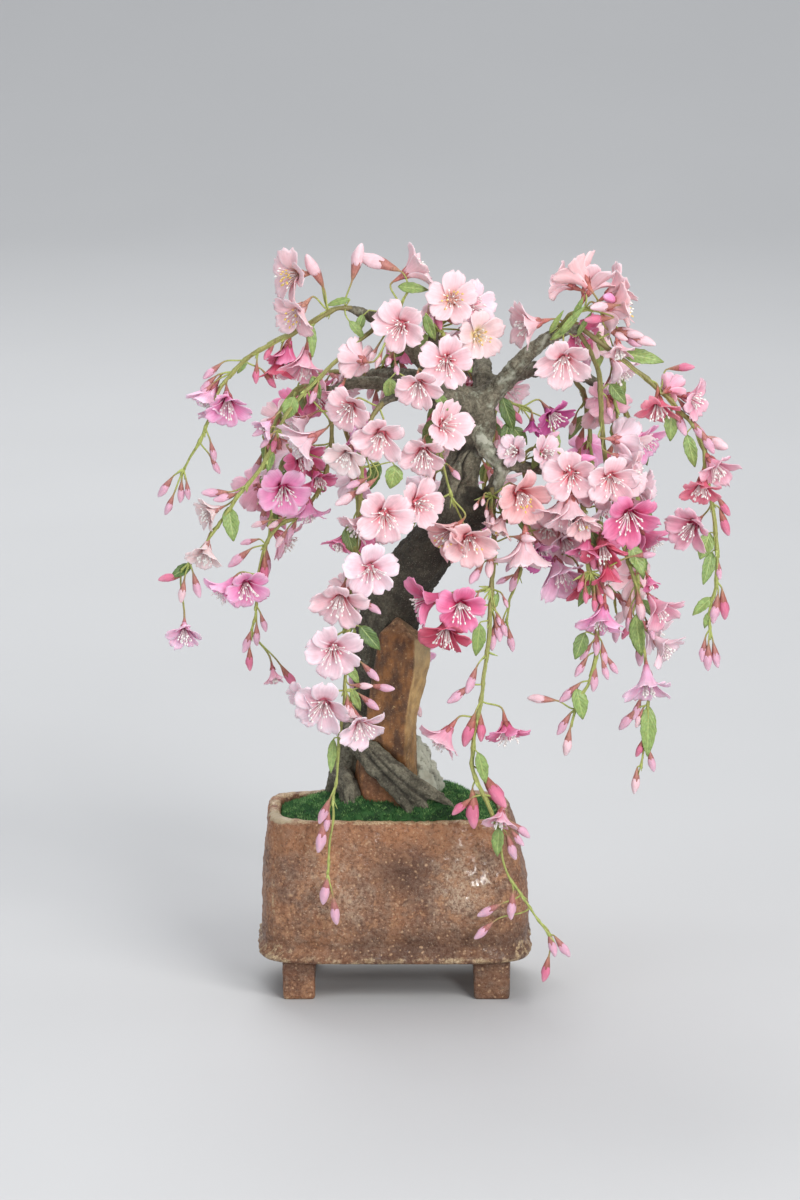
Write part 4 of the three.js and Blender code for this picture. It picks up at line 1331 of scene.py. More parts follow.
TWIG_COLOURS = [(0, TWIG_OLD), (0.35, TWIG_MIDDLE), (0.85, TWIG_YOUNG), (1, GREEN_STALK)]
STRAND_COLOURS = [(0, TWIG_MIDDLE), (0.5, TWIG_YOUNG), (1, GREEN_STALK)]
STALK_SIDES = 5
TWIG_SIDES = 8
STRAND_SIDES = 4
STALK_STEPS = 8
NODE_STEP = 5  # points of a twig's line between places that stalks can leave it
BUD_LENGTH = 7.4  # of the rolled petals, for a bud of size 1
BUD_RADIUS = 1.95
BUD_SIDES = 12
BUD_CONE = 5.6  # length of the calyx cone
CONE_BARE = 0.8  # share of the cone that the petals leave bare
UMBEL_REACH = 11.9  # from an umbel bud's tip to its stalk's end
LEAF_THICKNESS = 0.3
SCALE_THICKNESS = 0.28


class Shoot:
    """What grows on one twig, gathered by material."""

    def __init__(self, name, twig, seed):
        self.name = name
        self.rng = np.random.default_rng(seed)
        self.petals = Heap("place", "heart", "body", "edge")
        self.stamens = Heap("tint")
        self.stalks = Heap("tint")
        self.leaves = Heap("place", "tint")
        line, self.share = route(at(twig), spacing=1.6)
        bends = np.stack([noise(line / 9 + i * 5) for i in range(3)], 1)
        self.line = line + 0.7 * bends * smooth_step(0, 0.1, self.share)[:, None]
        spots = np.unique(np.append(np.arange(2, len(line), NODE_STEP), len(line) - 1))
        self.nodes = self.line[spots]
        self.ways = along(self.line)[spots]
        self.used = {}

    def twig(self):
        """The twig itself, with a knuckle at each place that stalks leave it."""
        radii = np.interp(self.share, [0, 0.4, 1], [1.25, 0.85, 0.45])
        for node in self.used.values():
            gap = np.linalg.norm(self.line - node, axis=1)
            radii = radii + 0.4 * hump(gap, 1.7)
        tint = ring_tints(self.share, TWIG_SIDES, *TWIG_COLOURS)
        self.stalks.add(tube(self.line, radii, TWIG_SIDES), tint=tint)
        self.strands(radii)

    def strands(self, radii):
        """Thin green stalks that run down along the twig."""
        right, up = sideways(self.line)
        last = len(self.line) - 1
        for first in np.arange(0.05, 0.85, 0.2):
            part = slice(int(first * last), int(min(first + 0.34, 1) * last), 2)
            axis, share = self.line[part], self.share[part]
            if len(axis) < 4:
                continue
            turn = self.rng.uniform(0, 6) + 1.2 * noise(axis / 12 + 3)
            side = right[part] * np.cos(turn)[:, None] + up[part] * np.sin(turn)[:, None]
            line = axis + side * (0.75 * radii[part] + 0.25)[:, None]
            thin = np.interp(np.linspace(0, 1, len(axis)), [0, 0.15, 1], [0.2, 0.55, 0.42])
            tint = ring_tints(share, STRAND_SIDES, *STRAND_COLOURS)
            self.stalks.add(tube(line, thin, STRAND_SIDES), tint=tint)

    def node_near(self, place, wish, way=None):
        """Number of the knuckle that a stalk leaves for a place, with about the wished length."""
        gap = place - self.nodes
        length = np.linalg.norm(gap, axis=1)
        order = np.arange(len(length))
        cost = np.abs(length - wish) + 7.0 * (order > length.argmin())
        if way is not None:
            cost = cost + 9 * (1 - unit(gap) @ way)
        best = int(cost.argmin())
        self.used[best] = self.nodes[best]
        return best

    def stalk(self, node, end, way, count=STALK_STEPS):
        """A line from a knuckle on the twig to an end, where it arrives along the way."""
        start = self.nodes[node]
        gap = np.linalg.norm(end - start)
        leave = unit(unit(end - start) + 0.5 * self.ways[node])
        t = np.linspace(0, 1, count)[:, None]
        p1 = start + leave * gap * 0.33
        p2 = end - way * gap * 0.36
        near = (1 - t) ** 3 * start + 3 * t * (1 - t) ** 2 * p1
        return near + 3 * t * t * (1 - t) * p2 + t**3 * end

    def stem(self, line, radii, *colours):
        """A stalk with a radius at each point of its line."""
        tint = ring_tints(np.linspace(0, 1, len(line)), STALK_SIDES, *colours)
        self.stalks.add(tube(line, radii, STALK_SIDES), tint=tint)

    def cupped(self, line, cup, radii, brown, red, heart):
        """A stalk and the cup at its end: it turns brown, then takes a flush of the flower's heart."""
        self.stem(
            np.vstack([line, cup]), radii, (0, GREEN_STALK), (0.4, GREEN_STALK), (brown, BROWN_STALK),
            (red, flushed(CALYX, heart)), (1, flushed(CALYX_TIP, heart)),
        )

    def flower(self, mouth, way, radius, tone, spread):
        """An open flower from the middle of its mouth, the way it looks and the mouth's radius."""
        rng = self.rng
        heart, body, edge, yellow = TONES[tone]
        axes = axes_of(way, rng.uniform(0, 2 * np.pi))
        shade = rng.normal(1, 0.03)
        for i in range(5):
            wide = np.clip(spread + rng.normal(0, 0.1), 0, 1.12)
            sheet, u, v = petal_sheet(wide, rng)
            sheet = around(sheet, 2 * np.pi * (i / 5) + rng.normal(0, 0.06))
            rim = np.maximum(np.abs(v) ** 4, u**6)
            thickness = (0.36 - 0.2 * rim) * radius / 12
            grid = sheet * radius @ axes.T + mouth
            place = sheet_places(u, v, rng.uniform())
            back = place * [1, 0.7, 1] + [0, 0.3, 0]  # paler, as if nearer the rim
            self.petals.add(
                slab_of(grid, thickness), place=np.vstack([place, back]),
                heart=heart, body=np.array(body) * shade, edge=edge,
            )
        depth = -petal_line(spread)[2][0]
        self.heart(mouth, axes, radius, spread, TONES[tone])
        self.stamens_of(mouth, axes, radius, spread, depth, yellow)
        self.calyx(mouth - way * depth * radius, way, radius, heart)

    def heart(self, mouth, axes, radius, spread, tone):
        """The closed bottom of a flower's throat."""
        heart, body, edge, _ = tone
        _, out, rise = petal_line(spread)
        turn = turns(THROAT_SIDES)
        wide, high = (np.interp(THROAT_MARK, FINE, values) for values in (out, rise))
        rings = []
        for size, up in ((0.8, -0.1), (1.0, 0), (0.6, 0.03)):
            x, y = np.cos(turn) * wide * size, np.sin(turn) * wide * size
            rings.append(np.stack([x, y, high + 0 * turn + up], 1))
        shape = np.array(rings) * radius @ axes.T + mouth
        low, top = (np.array([0, 0, high + up]) * radius @ axes.T + mouth for up in (-0.16, 0.05))
        self.petals.add(
            skin(shape, low, top), place=(0, 0.2, 0.5), heart=heart, body=body, edge=edge
        )

    def stamens_of(self, mouth, axes, radius, spread, depth, yellow):
        """Thin curved filaments from the throat, each with a small anther."""
        rng = self.rng
        count = rng.integers(16, 22) if spread > 0.35 else 9
        droop = np.array([0, 0, -0.07 * radius])
        for i in range(count):
            turn = 2 * np.pi * (i / count) + rng.normal(0, 0.25)
            reach = rng.uniform(0.08, 0.44) * (0.35 + 0.65 * spread)
            rise = rng.uniform(-0.05, 0.3) * (0.3 + 0.7 * spread) - 0.3 * (1 - spread)
            start = np.array([0.07, 0, -0.75 * depth])
            middle = np.array([0.12 + 0.2 * reach, 0, 0.5 * rise - 0.3 * depth])
            end = np.array([0.06 + reach, 0, rise])
            t = np.linspace(0, 1, 4)[:, None]
            line = (1 - t) ** 2 * start + 2 * t * (1 - t) * middle + t**2 * end
            line = around(line * radius, turn) @ axes.T + mouth + t**2 * droop
            self.stamens.add(tube(line, np.linspace(0.24, 0.17, 4), 3), tint=FILAMENT)
            way = unit(line[-1] - line[-2] + rng.normal(0, 0.3, 3))
            tint = YELLOW_ANTHER if rng.uniform() < yellow else ANTHER
            spot = line[-1] + way * np.array([-0.2, 0.35, 1.2])[:, None]
            self.stamens.add(tube(spot, [0.25, 0.58, 0.22], 4), tint=tint)

    def calyx(self, throat, way, radius, heart):
        """What carries a flower: its thin stalk, the calyx tube and five sepals."""
        length = radius * CALYX_LENGTH
        base = throat - way * length
        wish = self.rng.uniform(7, 11)
        line = self.stalk(self.node_near(base, wish, way), base, way)
        cup = base + way * length * np.array([0.12, 0.35, 0.65, 1.06])[:, None]
        wide = radius * THROAT
        radii = [0.5] * (STALK_STEPS - 1) + [0.55, 0.62]
        radii += [0.4 + 0.35 * wide, 0.4 + 0.6 * wide, 0.35 + wide]
        self.cupped(line, cup, radii, 0.62, 0.8, heart)
        self.sepals(throat, way, 0.3 + wide, 0.3 * radius, flushed(CALYX_TIP, heart))

    def sepals(self, place, way, reach, length, tint):
        """The five pointed lobes of a calyx, behind the petals."""
        axes = axes_of(way, self.rng.uniform(0, 6))
        u, v = sheet_shares(4, 3)
        width = 0.3 * length * np.sin(np.pi * (0.25 + 0.72 * u)) * v
        x = reach + length * u * 0.34 - 0.15 * np.abs(v)
        grid = np.stack([x, width, length * (u - 0.12)], -1)
        for i in range(5):
            sheet = around(grid, 2 * np.pi * i / 5) @ axes.T + place
            self.stalks.add(slab_of(sheet, np.full(u.shape, LEAF_THICKNESS)), tint=tint)

    def bud(self, tip, size, tone, way=None):
        """A closed bud from its tip: rolled petals on a slim calyx cone and a thin stalk."""
        rng = self.rng
        long, cone = BUD_LENGTH * size, BUD_CONE * size
        node = self.node_near(tip, long + cone + rng.uniform(4, 8), way)
        if way is None:
            way = unit(unit(tip - self.nodes[node]) + [0, 0, -0.2] + rng.normal(0, 0.06, 3))
        neck = tip - way * (long + cone * CONE_BARE)
        self.closed(self.stalk(node, neck, way), tip, way, size, tone)

    def umbel(self, place, tips, size, tone):
        """Small buds on long thin stalks that all leave one knuckle, among long green scales."""
        node = int(np.linalg.norm(self.nodes - place, axis=1).argmin())
        self.used[node] = self.nodes[node]
        for tip in tips:
            way = unit(unit(tip - self.nodes[node]) + self.rng.normal(0, 0.15, 3) + [0, 0, -0.7])
            line = self.stalk(node, tip - way * UMBEL_REACH * size, way)
            self.closed(line, tip, way, size, tone)
        for _ in range(7):
            way = unit(self.rng.normal(0, 0.5, 3) + [0, -0.3, -0.5])
            self.scale(self.nodes[node], way, self.rng.uniform(6, 11))

    def closed(self, line, tip, way, size, tone):
        """The calyx cone and the rolled petals of a bud at the end of its stalk's line."""
        long, cone = BUD_LENGTH * size, BUD_CONE * size
        neck = tip - way * (long + cone * CONE_BARE)
        cup = neck + way * cone * np.array([0.2, 0.5, 0.8, 1.05])[:, None]
        radii = [0.45] * (STALK_STEPS - 1) + [0.5]
        radii += [0.75 * size, 1.2 * size, 1.6 * size, 1.7 * size]
        self.cupped(line, cup, radii, 0.6, 0.78, TONES[tone][0])
        self.rolled(tip, way, long, size, tone)

    def rolled(self, tip, way, long, size, tone):
        """The rolled petals of a bud: three folds that wind about it."""
        heart, body, edge, _ = TONES[tone]
        axes = axes_of(way, self.rng.uniform(0, 6))
        share = np.array([0.03, 0.15, 0.3, 0.46, 0.62, 0.77, 0.89, 0.97])
        swell = np.interp(share, [0, 0.2, 0.42, 0.7, 0.88, 1], [0.72, 0.95, 1, 0.76, 0.45, 0.12])
        s, a = np.meshgrid(share, turns(BUD_SIDES), indexing="ij")
        fold = (a / (2 * np.pi) * 3 + 0.5 * s) % 1
        reach = BUD_RADIUS * size * swell[:, None] * (0.88 + 0.2 * fold)
        bow = 0.25 * size * np.sin(np.pi * s)
        grid = np.stack([reach * np.cos(a) + bow, reach * np.sin(a), (s - 1) * long], -1)
        shape = skin(grid @ axes.T + tip, tip - way * long, tip)
        u = per_ring(0.42 + 0.4 * share, BUD_SIDES)
        across = np.append((fold * 1.7 - 0.85).ravel(), [0, 0])
        place = np.stack([across, u, np.full(len(u), self.rng.uniform())], 1)
        self.petals.add(shape, place=place, heart=heart, body=body, edge=edge)

    def leaf(self, middle, way, face, length, width, tint):
        """A small pointed leaf, folded along its midrib, on a short stalk."""
        rng = self.rng
        u, v = sheet_shares(11, 7)
        shape = np.sin(np.pi * u**0.85) ** 0.7 * (1 - 0.2 * u)
        teeth = 1 + 0.06 * np.cos(12 * np.pi * u) * (np.abs(v) > 0.9)
        side = unit(np.cross(way, face))
        normal = np.cross(side, way)
        curl = rng.uniform(0.05, 0.3)
        half = width / 2 * np.maximum(shape, 0.03) * teeth
        fold = 0.3 * np.abs(v) * half - curl * length * (u - 0.3) ** 2
        fold = fold + 0.03 * width * np.sin(9 * u + 3 * v)
        grid = middle + way * ((u - 0.5) * length)[..., None] + side * (v * half)[..., None]
        grid = grid + normal * fold[..., None]
        place = np.tile(sheet_places(u, v, rng.uniform()), (2, 1))
        self.leaves.add(slab_of(grid, np.full(u.shape, LEAF_THICKNESS)), place=place, tint=tint)
        foot = grid[0, 3] + way * 0.4
        line = self.stalk(self.node_near(foot, 2), foot, way, 5)
        self.stem(line, [0.5, 0.42, 0.4, 0.38, 0.36], (0, GREEN_STALK), (1, GREEN_STALK))

    def bracts(self):
        """Narrow green scales where the stalks leave the twig."""
        for number, node in list(self.used.items())[::2]:
            for _ in range(3):
                spread = self.rng.normal(0, 0.35, 3)
                way = unit(spread + [0, 0, -0.3] + 0.9 * self.ways[number])
                self.scale(node, way, self.rng.uniform(3, 6))

    def scale(self, place, way, length):
        """One narrow green scale from its foot, the way it points and its length."""
        u, v = sheet_shares(5, 3)
        side = unit(np.cross(way, unit(self.rng.normal(0, 1, 3))))
        normal = np.cross(side, way)
        half = 0.7 * np.sin(np.pi * (0.12 + 0.87 * u**0.8))
        bow = 0.12 * length * u**2
        grid = place + way * (u * length)[..., None] + side * (v * half)[..., None]
        grid = grid + normal * (bow + 0.2 * np.abs(v))[..., None]
        self.stalks.add(slab_of(grid, np.full(u.shape, SCALE_THICKNESS)), tint=BRACT)

    def show(self, finishes, node):
        """The whole shoot as one piece for each material, in place of its CAD node."""
        self.twig()
        self.bracts()
        parts = {
            "petals": (self.petals, "petal"), "stamens": (self.stamens, "stamen"),
            "stalks": (self.stalks, "twig"), "leaves": (self.leaves, "leaf"),
        }
        for part, (heap, slot) in parts.items():
            if heap.size:
                name = f"{self.name}_{part}"
                stands_for = [node] if part == "petals" else []
                piece(name, heap.mesh(name), finishes[slot], stands_for)


# What each front shoot has:
# twig: [across, up, back] from the branch to the tip;
# blooms: [across, up, back] of the mouth's middle, turn, tilt, mouth radius, tone, how far open;
# buds: [across, up, back] of the tip, size, tone ("bud" where it isn't given) and, where it doesn't
#     simply hang, turn and tilt;
# leaves: [across, up, back] of the middle, the way the tip points as seen from in front (degrees
#     from straight down, positive to the right), length, width, how dark;
# umbels: [across, up, back] of the knuckle, then of each tip, size and tone.
SHOOTS = {
    "left_crest": {
        "twig": [
            (-24, 146, -15), (-33, 145, -16), (-50, 135, -18), (-69, 126, -20), (-84, 114, -21),
            (-91, 103, -22), (-97, 87, -22), (-102, 77, -21), (-109, 63, -20),
        ],
        "blooms": [
            (-56.5, 162, -22, -55, 0, 14, "golden", 0.8), (-54, 141, -26, -40, -30, 13, "golden", 0.6),
            (-48, 112, -20, -10, -60, 13.5, "pink", 0.5), (-62, 111, -16, -30, -70, 9, "rose", 0.3),
            (-86, 94.5, -28, 5, -40, 12.5, "lilac", 0.55), (-98, 98, -20, -60, -55, 11, "lavender", 0.4),
            (-93, 91, -14, -30, -75, 9, "lavender", 0.5), (-58, 118, -14, -40, -70, 10, "hot", 0.35),
        ],
        "buds": [
            (-47, 173, -18, 1.6, "palebud"), (-19, 178.5, -12, 1.6, "palebud"),
            (-68, 120, -20, 0.8, "hotbud"), (-72, 108, -20, 0.9, "hotbud"), (-98.5, 110.5, -21, 1),
            (-100, 105, -20, 0.9), (-101, 101, -21, 0.9), (-92.5, 69, -21, 0.9), (-90, 63, -21, 0.85),
            (-121, 51.5, -20, 1.05), (-117.5, 42.5, -20, 0.95), (-110, 48.5, -20, 0.95),
            (-105.5, 50, -22, 0.8), (-62, 106, -15, 0.9, "hotbud"),
        ],
        "leaves": [
            (-31, 149, -17, -75, 12, 4, 0.2), (-44, 130, -20, 5, 17, 5, 0.2),
            (-21.5, 135, -22, 40, 12, 5, 0.2), (-79, 117, -20, -30, 9, 4, 0.3),
        ],
    },
    "left_front": {
        "twig": [
            (-10, 138, -14), (-22, 128, -24), (-37, 114, -32), (-52, 99, -39), (-61, 85, -42),
            (-69, 67, -44), (-80, 54, -46), (-89, 40, -46), (-100, 25, -46), (-109, 15, -45),
        ],
        "blooms": [
            (-52.5, 76, -46, -78, -30, 14, "pale", 0.55), (-98.5, 42.5, -48, -60, -15, 9.5, "white", 0.55),
            (-98, 20, -52, -15, -50, 10, "white", 0.5), (-108, -19, -45, 0, -40, 9.5, "lavender", 0.55),
            (-69, 85, -44, -60, -40, 6.5, "lavender", 0.3), (-33, 99, -30, -40, -50, 10, "pink", 0.6),
        ],
        "buds": [
            (-99.5, 53.5, -46, 1.15, "bud", -80, 0), (-93.5, 50, -47, 1.1, "bud", -70, -10),
            (-121, 10, -45, 1.1, "hotbud", -80, -10), (-109.5, -1.5, -45, 1, "palebud"),
            (-100, 1, -46, 1.1), (-74, 82, -43, 0.9), (-64, 74, -44, 0.8, "hotbud"), (-70, 76, -44, 0.8),
            (-45, 98, -40, 0.9),
        ],
        "leaves": [
            (-55, 96, -40, -20, 12, 9, 0.2), (-84.5, 38, -47, 10, 17, 9, 0.3),
            (-109.5, 14.5, -44, -60, 12, 6, 0.9), (-65, 69, -44, -20, 10, 5, 0.3),
            (-42, 106, -35, 20, 12, 6, 0.5),
        ],
    },
    "left_inner": {
        "twig": [
            (-32, 106, 0), (-34, 96, -3), (-36, 66, -8), (-50, 42, -12), (-60, 38, -13), (-67, 27, -14),
            (-70, 16, -14), (-72, -6, -14), (-74, -15, -14),
        ],
        "blooms": [
            (-58, 53, -28, 5, -20, 14, "lilac", 0.85), (-47, 69, -14, 40, -20, 12, "hot", 0.6),
            (-45.5, 40.5, -18, 10, -75, 10.5, "lilac", 0.5), (-90, 2, -16, -60, -45, 11, "lilac", 0.6),
            (-76, 5, -24, 15, -25, 12, "lilac", 0.75), (-62.5, -41, -14, 25, -65, 5.5, "pink", 0.05),
            (-54, 86, -8, -70, -30, 11, "pale", 0.6), (-40, 58, -16, 30, -50, 10, "hot", 0.6),
        ],
        "buds": [
            (-74.5, 36.5, -14, 0.8, "palebud"), (-66, 36, -15, 0.8, "palebud"),
            (-62, 26, -15, 0.9, "palebud"), (-86, 16.5, -14, 1.2), (-67.5, 8, -15, 1.2, "hotbud"),
            (-78.5, -26.5, -14, 1.05), (-71.5, -23, -14, 0.95), (-67, -16, -14, 0.85),
            (-75, -35.5, -14, 1, "hotbud"), (-52, -44, -15, 1.15, "hotbud"), (-80, 28, -13, 0.8),
            (-56, 30, -14, 0.9),
        ],
        "leaves": [(-41, 60, -9, 30, 13, 6, 0.5), (-58, 68, -14, -30, 11, 5, 0.4)],
    },
    "front_cascade": {
        "twig": [
            (-8, 99, -43), (-14, 92, -48), (-19, 65, -54), (-22, 30, -57), (-25, 0, -58), (-28, -50, -58),
            (-33, -100, -57), (-36, -137, -56),
        ],
        "blooms": [
            (-26.5, 94.5, -56, -20, -15, 12.5, "salmon", 0.8),
            (-28.5, 69.5, -62, -25, -30, 11.5, "white", 0.55),
            (-10.5, 79.5, -64, -10, -25, 13.5, "salmon", 0.8), (-7.5, 41, -70, 5, -8, 15, "salmon", 0.9),
            (-14.5, 14.5, -71, 5, -5, 14, "pale", 1), (-31, -2.5, -68, -15, -35, 14.5, "salmon", 0.85),
            (-33, -26, -71, 5, -10, 15, "pale", 0.95), (-39, -54.5, -71, -10, -20, 15, "pale", 0.9),
            (-50, -51, -62, -60, -20, 11, "pale", 0.7), (-18.5, -65.5, -68, 25, -40, 12.5, "pale", 0.8),
            (-24, 35, -62, -60, -40, 10, "salmon", 0.6), (-31, 26, -56, -50, -50, 8.5, "hot", 0.5),
            (-24, -60, -62, 10, -60, 5, "salmon", 0.05),
        ],
        "buds": [
            (-10.5, -40.5, -58, 1.05), (-2.5, -44.5, -57, 1.05), (-10.5, -55, -58, 1.05),
            (-13.5, -43, -60, 0.9, "palebud", 80, 0), (-26.5, -59, -60, 0.9, "palebud"),
            (-40.5, -112, -57, 1.2), (-37, -116, -57, 0.9), (-41, -126.5, -57, 1.4),
            (-38.5, -152.5, -56, 1.3), (-31.5, -162.5, -56, 1.25),
            (-32.5, 47.5, -62, 1.3, "palebud", -65, -25), (-22, 53, -62, 1.1, "palebud", -60, -30),
            (-9.5, -7, -60, 1), (-27, 56, -60, 1, "bud", -70, -20),
        ],
        "leaves": [
            (-15, -19, -58, 40, 16, 8, 0.9), (-25, 29.5, -58, 15, 14, 8, 0.6),
            (-13, 62, -50, -20, 14, 8, 0.8), (-3.5, 61.5, -50, -10, 12, 10, 0.1),
            (-23.5, -37, -58, 30, 12, 5, 0.2), (-22, -50, -58, 20, 12, 5, 0.2),
            (-34, -78, -57, -5, 17, 5, 0.1),
        ],
    },
    "crown_left": {
        "twig": [(-2, 136, -12), (0, 146, -13), (4, 155, -12)],
        "blooms": [
            (11, 168, -8, 100, 30, 13, "salmon", 0.55), (-1, 136.5, -34, -15, 0, 13.5, "salmon", 0.85),
            (-22.5, 121, -24, -150, 0, 11, "salmon", 0.6),
        ],
        "buds": [
            (-21.5, 173, -12, 1.9, "palebud"), (-15.5, 119, -30, 0.8, "palebud"),
            (-12, 116, -30, 0.8, "palebud"), (-18, 117, -29, 0.8, "palebud"),
            (-6.5, 117.5, -38, 0.8, "bud", -10, -20), (-1, 112.5, -40, 0.8, "bud", 10, -30),
        ],
        "leaves": [(6.5, 156, -13, 85, 15, 6, 0.2), (-20, 138, -20, -20, 10, 5, 0.3)],
    },
    "crown_right": {
        "twig": [(18, 135, -2), (20, 137, -14), (22, 132, -20)],
        "blooms": [
            (26, 151, -22, 5, 20, 13.5, "golden", 0.85), (38, 148, -12, 40, 25, 12.5, "pale", 0.85),
            (40.5, 132, -20, 25, 0, 13, "cream", 0.85), (15, 143, -6, -60, 20, 11, "salmon", 0.6),
            (23, 118.5, -38, 0, -5, 14, "salmon", 0.95),
        ],
        "buds": [
            (16, 136, -28, 1.1, "bud", 10, -40), (20.5, 135, -24, 1, "hotbud", 30, -60),
            (31, 139, -24, 0.9, "palebud"),
        ],
        "leaves": [(15, 136, -30, 20, 14, 6, 0.4), (33, 119, -16, 30, 12, 6, 0.5)],
    },
    "crown_low": {
        "twig": [(22, 102, -20), (22, 94, -28), (20, 74, -33), (26, 52, -35)],
        "blooms": [
            (9, 105, -52, 0, -30, 12.5, "salmon", 0.8), (24.5, 88, -42, 35, 15, 13.5, "salmon", 0.7),
            (11, 71, -54, -5, -30, 12.5, "salmon", 0.75), (11.5, 48.5, -50, 30, 10, 13, "salmon", 0.8),
            (21.5, 30, -46, -45, -30, 13.5, "coral", 0.6), (35.5, 27, -49, 10, -20, 14, "peach", 0.6),
        ],
        "buds": [(30, 60, -40, 0.8), (15, 60, -40, 0.9, "palebud")],
        "leaves": [
            (-5, 105, -40, 0, 12, 8, 0.1), (21, 99, -38, 40, 10, 6, 0.5), (14, 84, -36, -20, 13, 6, 0.5),
        ],
    },
    "centre_trail": {
        "umbels": [
            (
                (46, 54, -14),
                [(43, 41, -34), (46.5, 37, -34), (41, 47, -34), (54, 40, -34), (37, 45, -34)],
                0.6, "palebud",
            ),
            ((46, 9, -34), [(41, -9, -44), (50, -13, -44), (54, -4, -42), (37, -3, -42)], 0.6, "bud"),
        ],
        "twig": [
            (46, 56, -13), (47, 30, -24), (46, 9, -34), (45, -8, -42), (43, -29, -48), (39, -57, -55),
            (36, -75, -58), (37, -88, -60), (45, -105, -61), (50, -120, -61), (52, -133, -61),
            (65, -154, -60), (75, -168, -60),
        ],
        "blooms": [
            (63, 49, -38, 20, -15, 14.5, "coral", 0.4), (61.5, 17, -38, -10, -70, 14, "salmon", 0.25),
            (8.5, -2, -46, -75, -15, 13.5, "hot", 0.6), (30.5, -4.5, -58, 5, -15, 13, "hot", 0.9),
            (22, -19.5, -52, -15, -50, 14, "rose", 0.8), (19, -72, -62, -70, -50, 12.5, "pink", 0.6),
            (54, -68, -60, 25, -65, 12, "hot", 0.9), (49.5, -112, -66, -20, -55, 9, "pink", 0.6),
            (48, 34, -30, -60, -60, 9, "peach", 0.4),
        ],
        "buds": [
            (68, 30, -40, 1.1, "palebud"), (44.5, 36.5, -32, 0.9, "palebud"),
            (49.5, 33, -32, 0.9, "palebud"), (35, 8, -42, 1.2), (44.5, 11, -40, 1.2, "palebud"),
            (46, -25.5, -44, 1.1), (50, -21, -44, 1), (53.5, -18.5, -44, 0.9), (23.5, -51.5, -54, 1.2),
            (33, -47, -54, 1.2), (53, -104, -62, 1.8, "hotbud", 60, -50), (32, -73.5, -58, 1.5, "hotbud"),
            (40.5, -71, -58, 1.2, "hotbud"), (26, -107.5, -60, 1.1, "hotbud"),
            (37, -114.5, -60, 1.7, "hotbud"), (65, -119, -60, 1.1), (62, -123, -62, 0.9),
            (58, -130, -60, 1.2), (38.5, -158, -60, 1.15), (37, -169.5, -60, 1.1), (55.5, -160, -62, 1.2),
            (77.5, -178.5, -60, 1.1), (85, -178.5, -60, 1.1), (71.5, -191, -60, 1.15, "hotbud"),
        ],
        "leaves": [
            (39, -20, -46, -5, 17, 8, 0.2), (41, -84, -60, 15, 17, 7, 0.2),
            (49, -121, -62, -5, 15, 7, 0.3), (52, 44, -24, 20, 12, 5, 0.3), (47, -2, -38, -20, 12, 4, 0.2),
        ],
    },
    "right_centre": {
        "umbels": [
            ((96, 12, -28), [(93, -2, -36), (97, -6, -36), (101, -3, -34), (89, 4, -34)], 0.8, "hotbud"),
        ],
        "twig": [
            (82, 62, -11), (90, 52, -18), (92, 35, -24), (95, 15, -28), (98, 0, -30), (99, -20, -31),
            (95, -40, -31), (89, -50, -30), (84, -68, -30),
        ],
        "blooms": [
            (85, 61.5, -40, -5, -5, 14, "salmon", 0.95), (106, 59, -40, 10, -15, 13.5, "salmon", 0.85),
            (119, 63, -30, 70, 0, 12, "salmon", 0.7), (115.5, 39.5, -40, 10, -30, 15, "hot", 0.9),
            (102, 21, -36, 10, -50, 12.5, "rose", 0.5), (86.5, 37, -40, 5, -60, 14, "salmon", 0.3),
            (77, 38, -34, -35, -50, 13, "salmon", 0.3), (92, 36, -42, 20, -45, 10, "peach", 0.4),
            (97.5, 51.5, -30, -10, -40, 11, "pale", 0.6), (100.5, -14, -38, -15, -62, 12.5, "lilac", 0.4),
            (92, 22, -36, -20, -60, 9, "hot", 0.25), (104, 8, -34, 15, -70, 8, "rose", 0.2),
        ],
        "buds": [
            (107, 0, -30, 1.1, "palebud"), (100, -10.5, -32, 1.3, "palebud"), (93.5, 18, -30, 1, "hotbud"),
            (97, 15, -31, 1, "hotbud"), (104, 9, -31, 1.2), (128, 23, -30, 0.9),
            (63.5, -49, -30, 1.2, "palebud", -90, 5), (79.5, -51, -30, 1.2), (96.5, -46, -31, 1.1),
            (87.5, -38.5, -31, 1), (103, -33, -31, 1), (109, -37, -31, 0.9), (104, -40, -33, 0.9),
            (78.5, -67.5, -30, 1.1), (82.5, -78, -30, 1.2, "palebud"), (90, -30, -31, 0.9),
            (98, -28, -32, 1), (110, 10, -30, 0.9, "hotbud"),
        ],
        "leaves": [
            (90, -23, -34, -20, 14, 8, 0.6), (90, -52, -32, 15, 16, 9, 0.2), (99, 28, -24, 30, 14, 6, 0.6),
            (92, 2, -30, -30, 12, 5, 0.6),
        ],
    },
    "right_spur": {
        "twig": [(60, 67, -9), (64, 74, -10), (72, 78, -10)],
        "blooms": [(56, 75, -18, -30, 20, 8.5, "pale", 0.6), (74, 74, -18, 30, 20, 9.5, "pale", 0.6)],
        "buds": [(80, 84, -8, 0.9), (98, 71, -20, 1.1, "lilac", 80, 0)],
        "leaves": [(68, 70, -14, -20, 10, 5, 0.4)],
    },
    "right_inner": {
        "twig": [
            (88, 136, -8), (98, 118, -4), (102, 75, -2), (107, 50, -6), (111, 30, -10), (117, 10, -13),
            (120, -10, -15), (122, -25, -16), (124, -60, -16), (120, -84, -16),
        ],
        "blooms": [
            (113, 80, -16, 130, -10, 12, "pale", 0.7), (118, 69, -18, 100, -20, 11, "pale", 0.6),
            (124, 55, -16, 90, -10, 10.5, "pale", 0.7), (133, -9, -22, 45, -40, 12, "pink", 0.35),
            (135, -26, -12, 60, -35, 11.5, "pale", 0.5), (124, -47, -26, 5, -60, 12.5, "lavender", 0.4),
            (126, 6, -20, 30, -50, 5, "hot", 0.1), (120, 44, -14, 60, -40, 10, "pink", 0.6),
        ],
        "buds": [
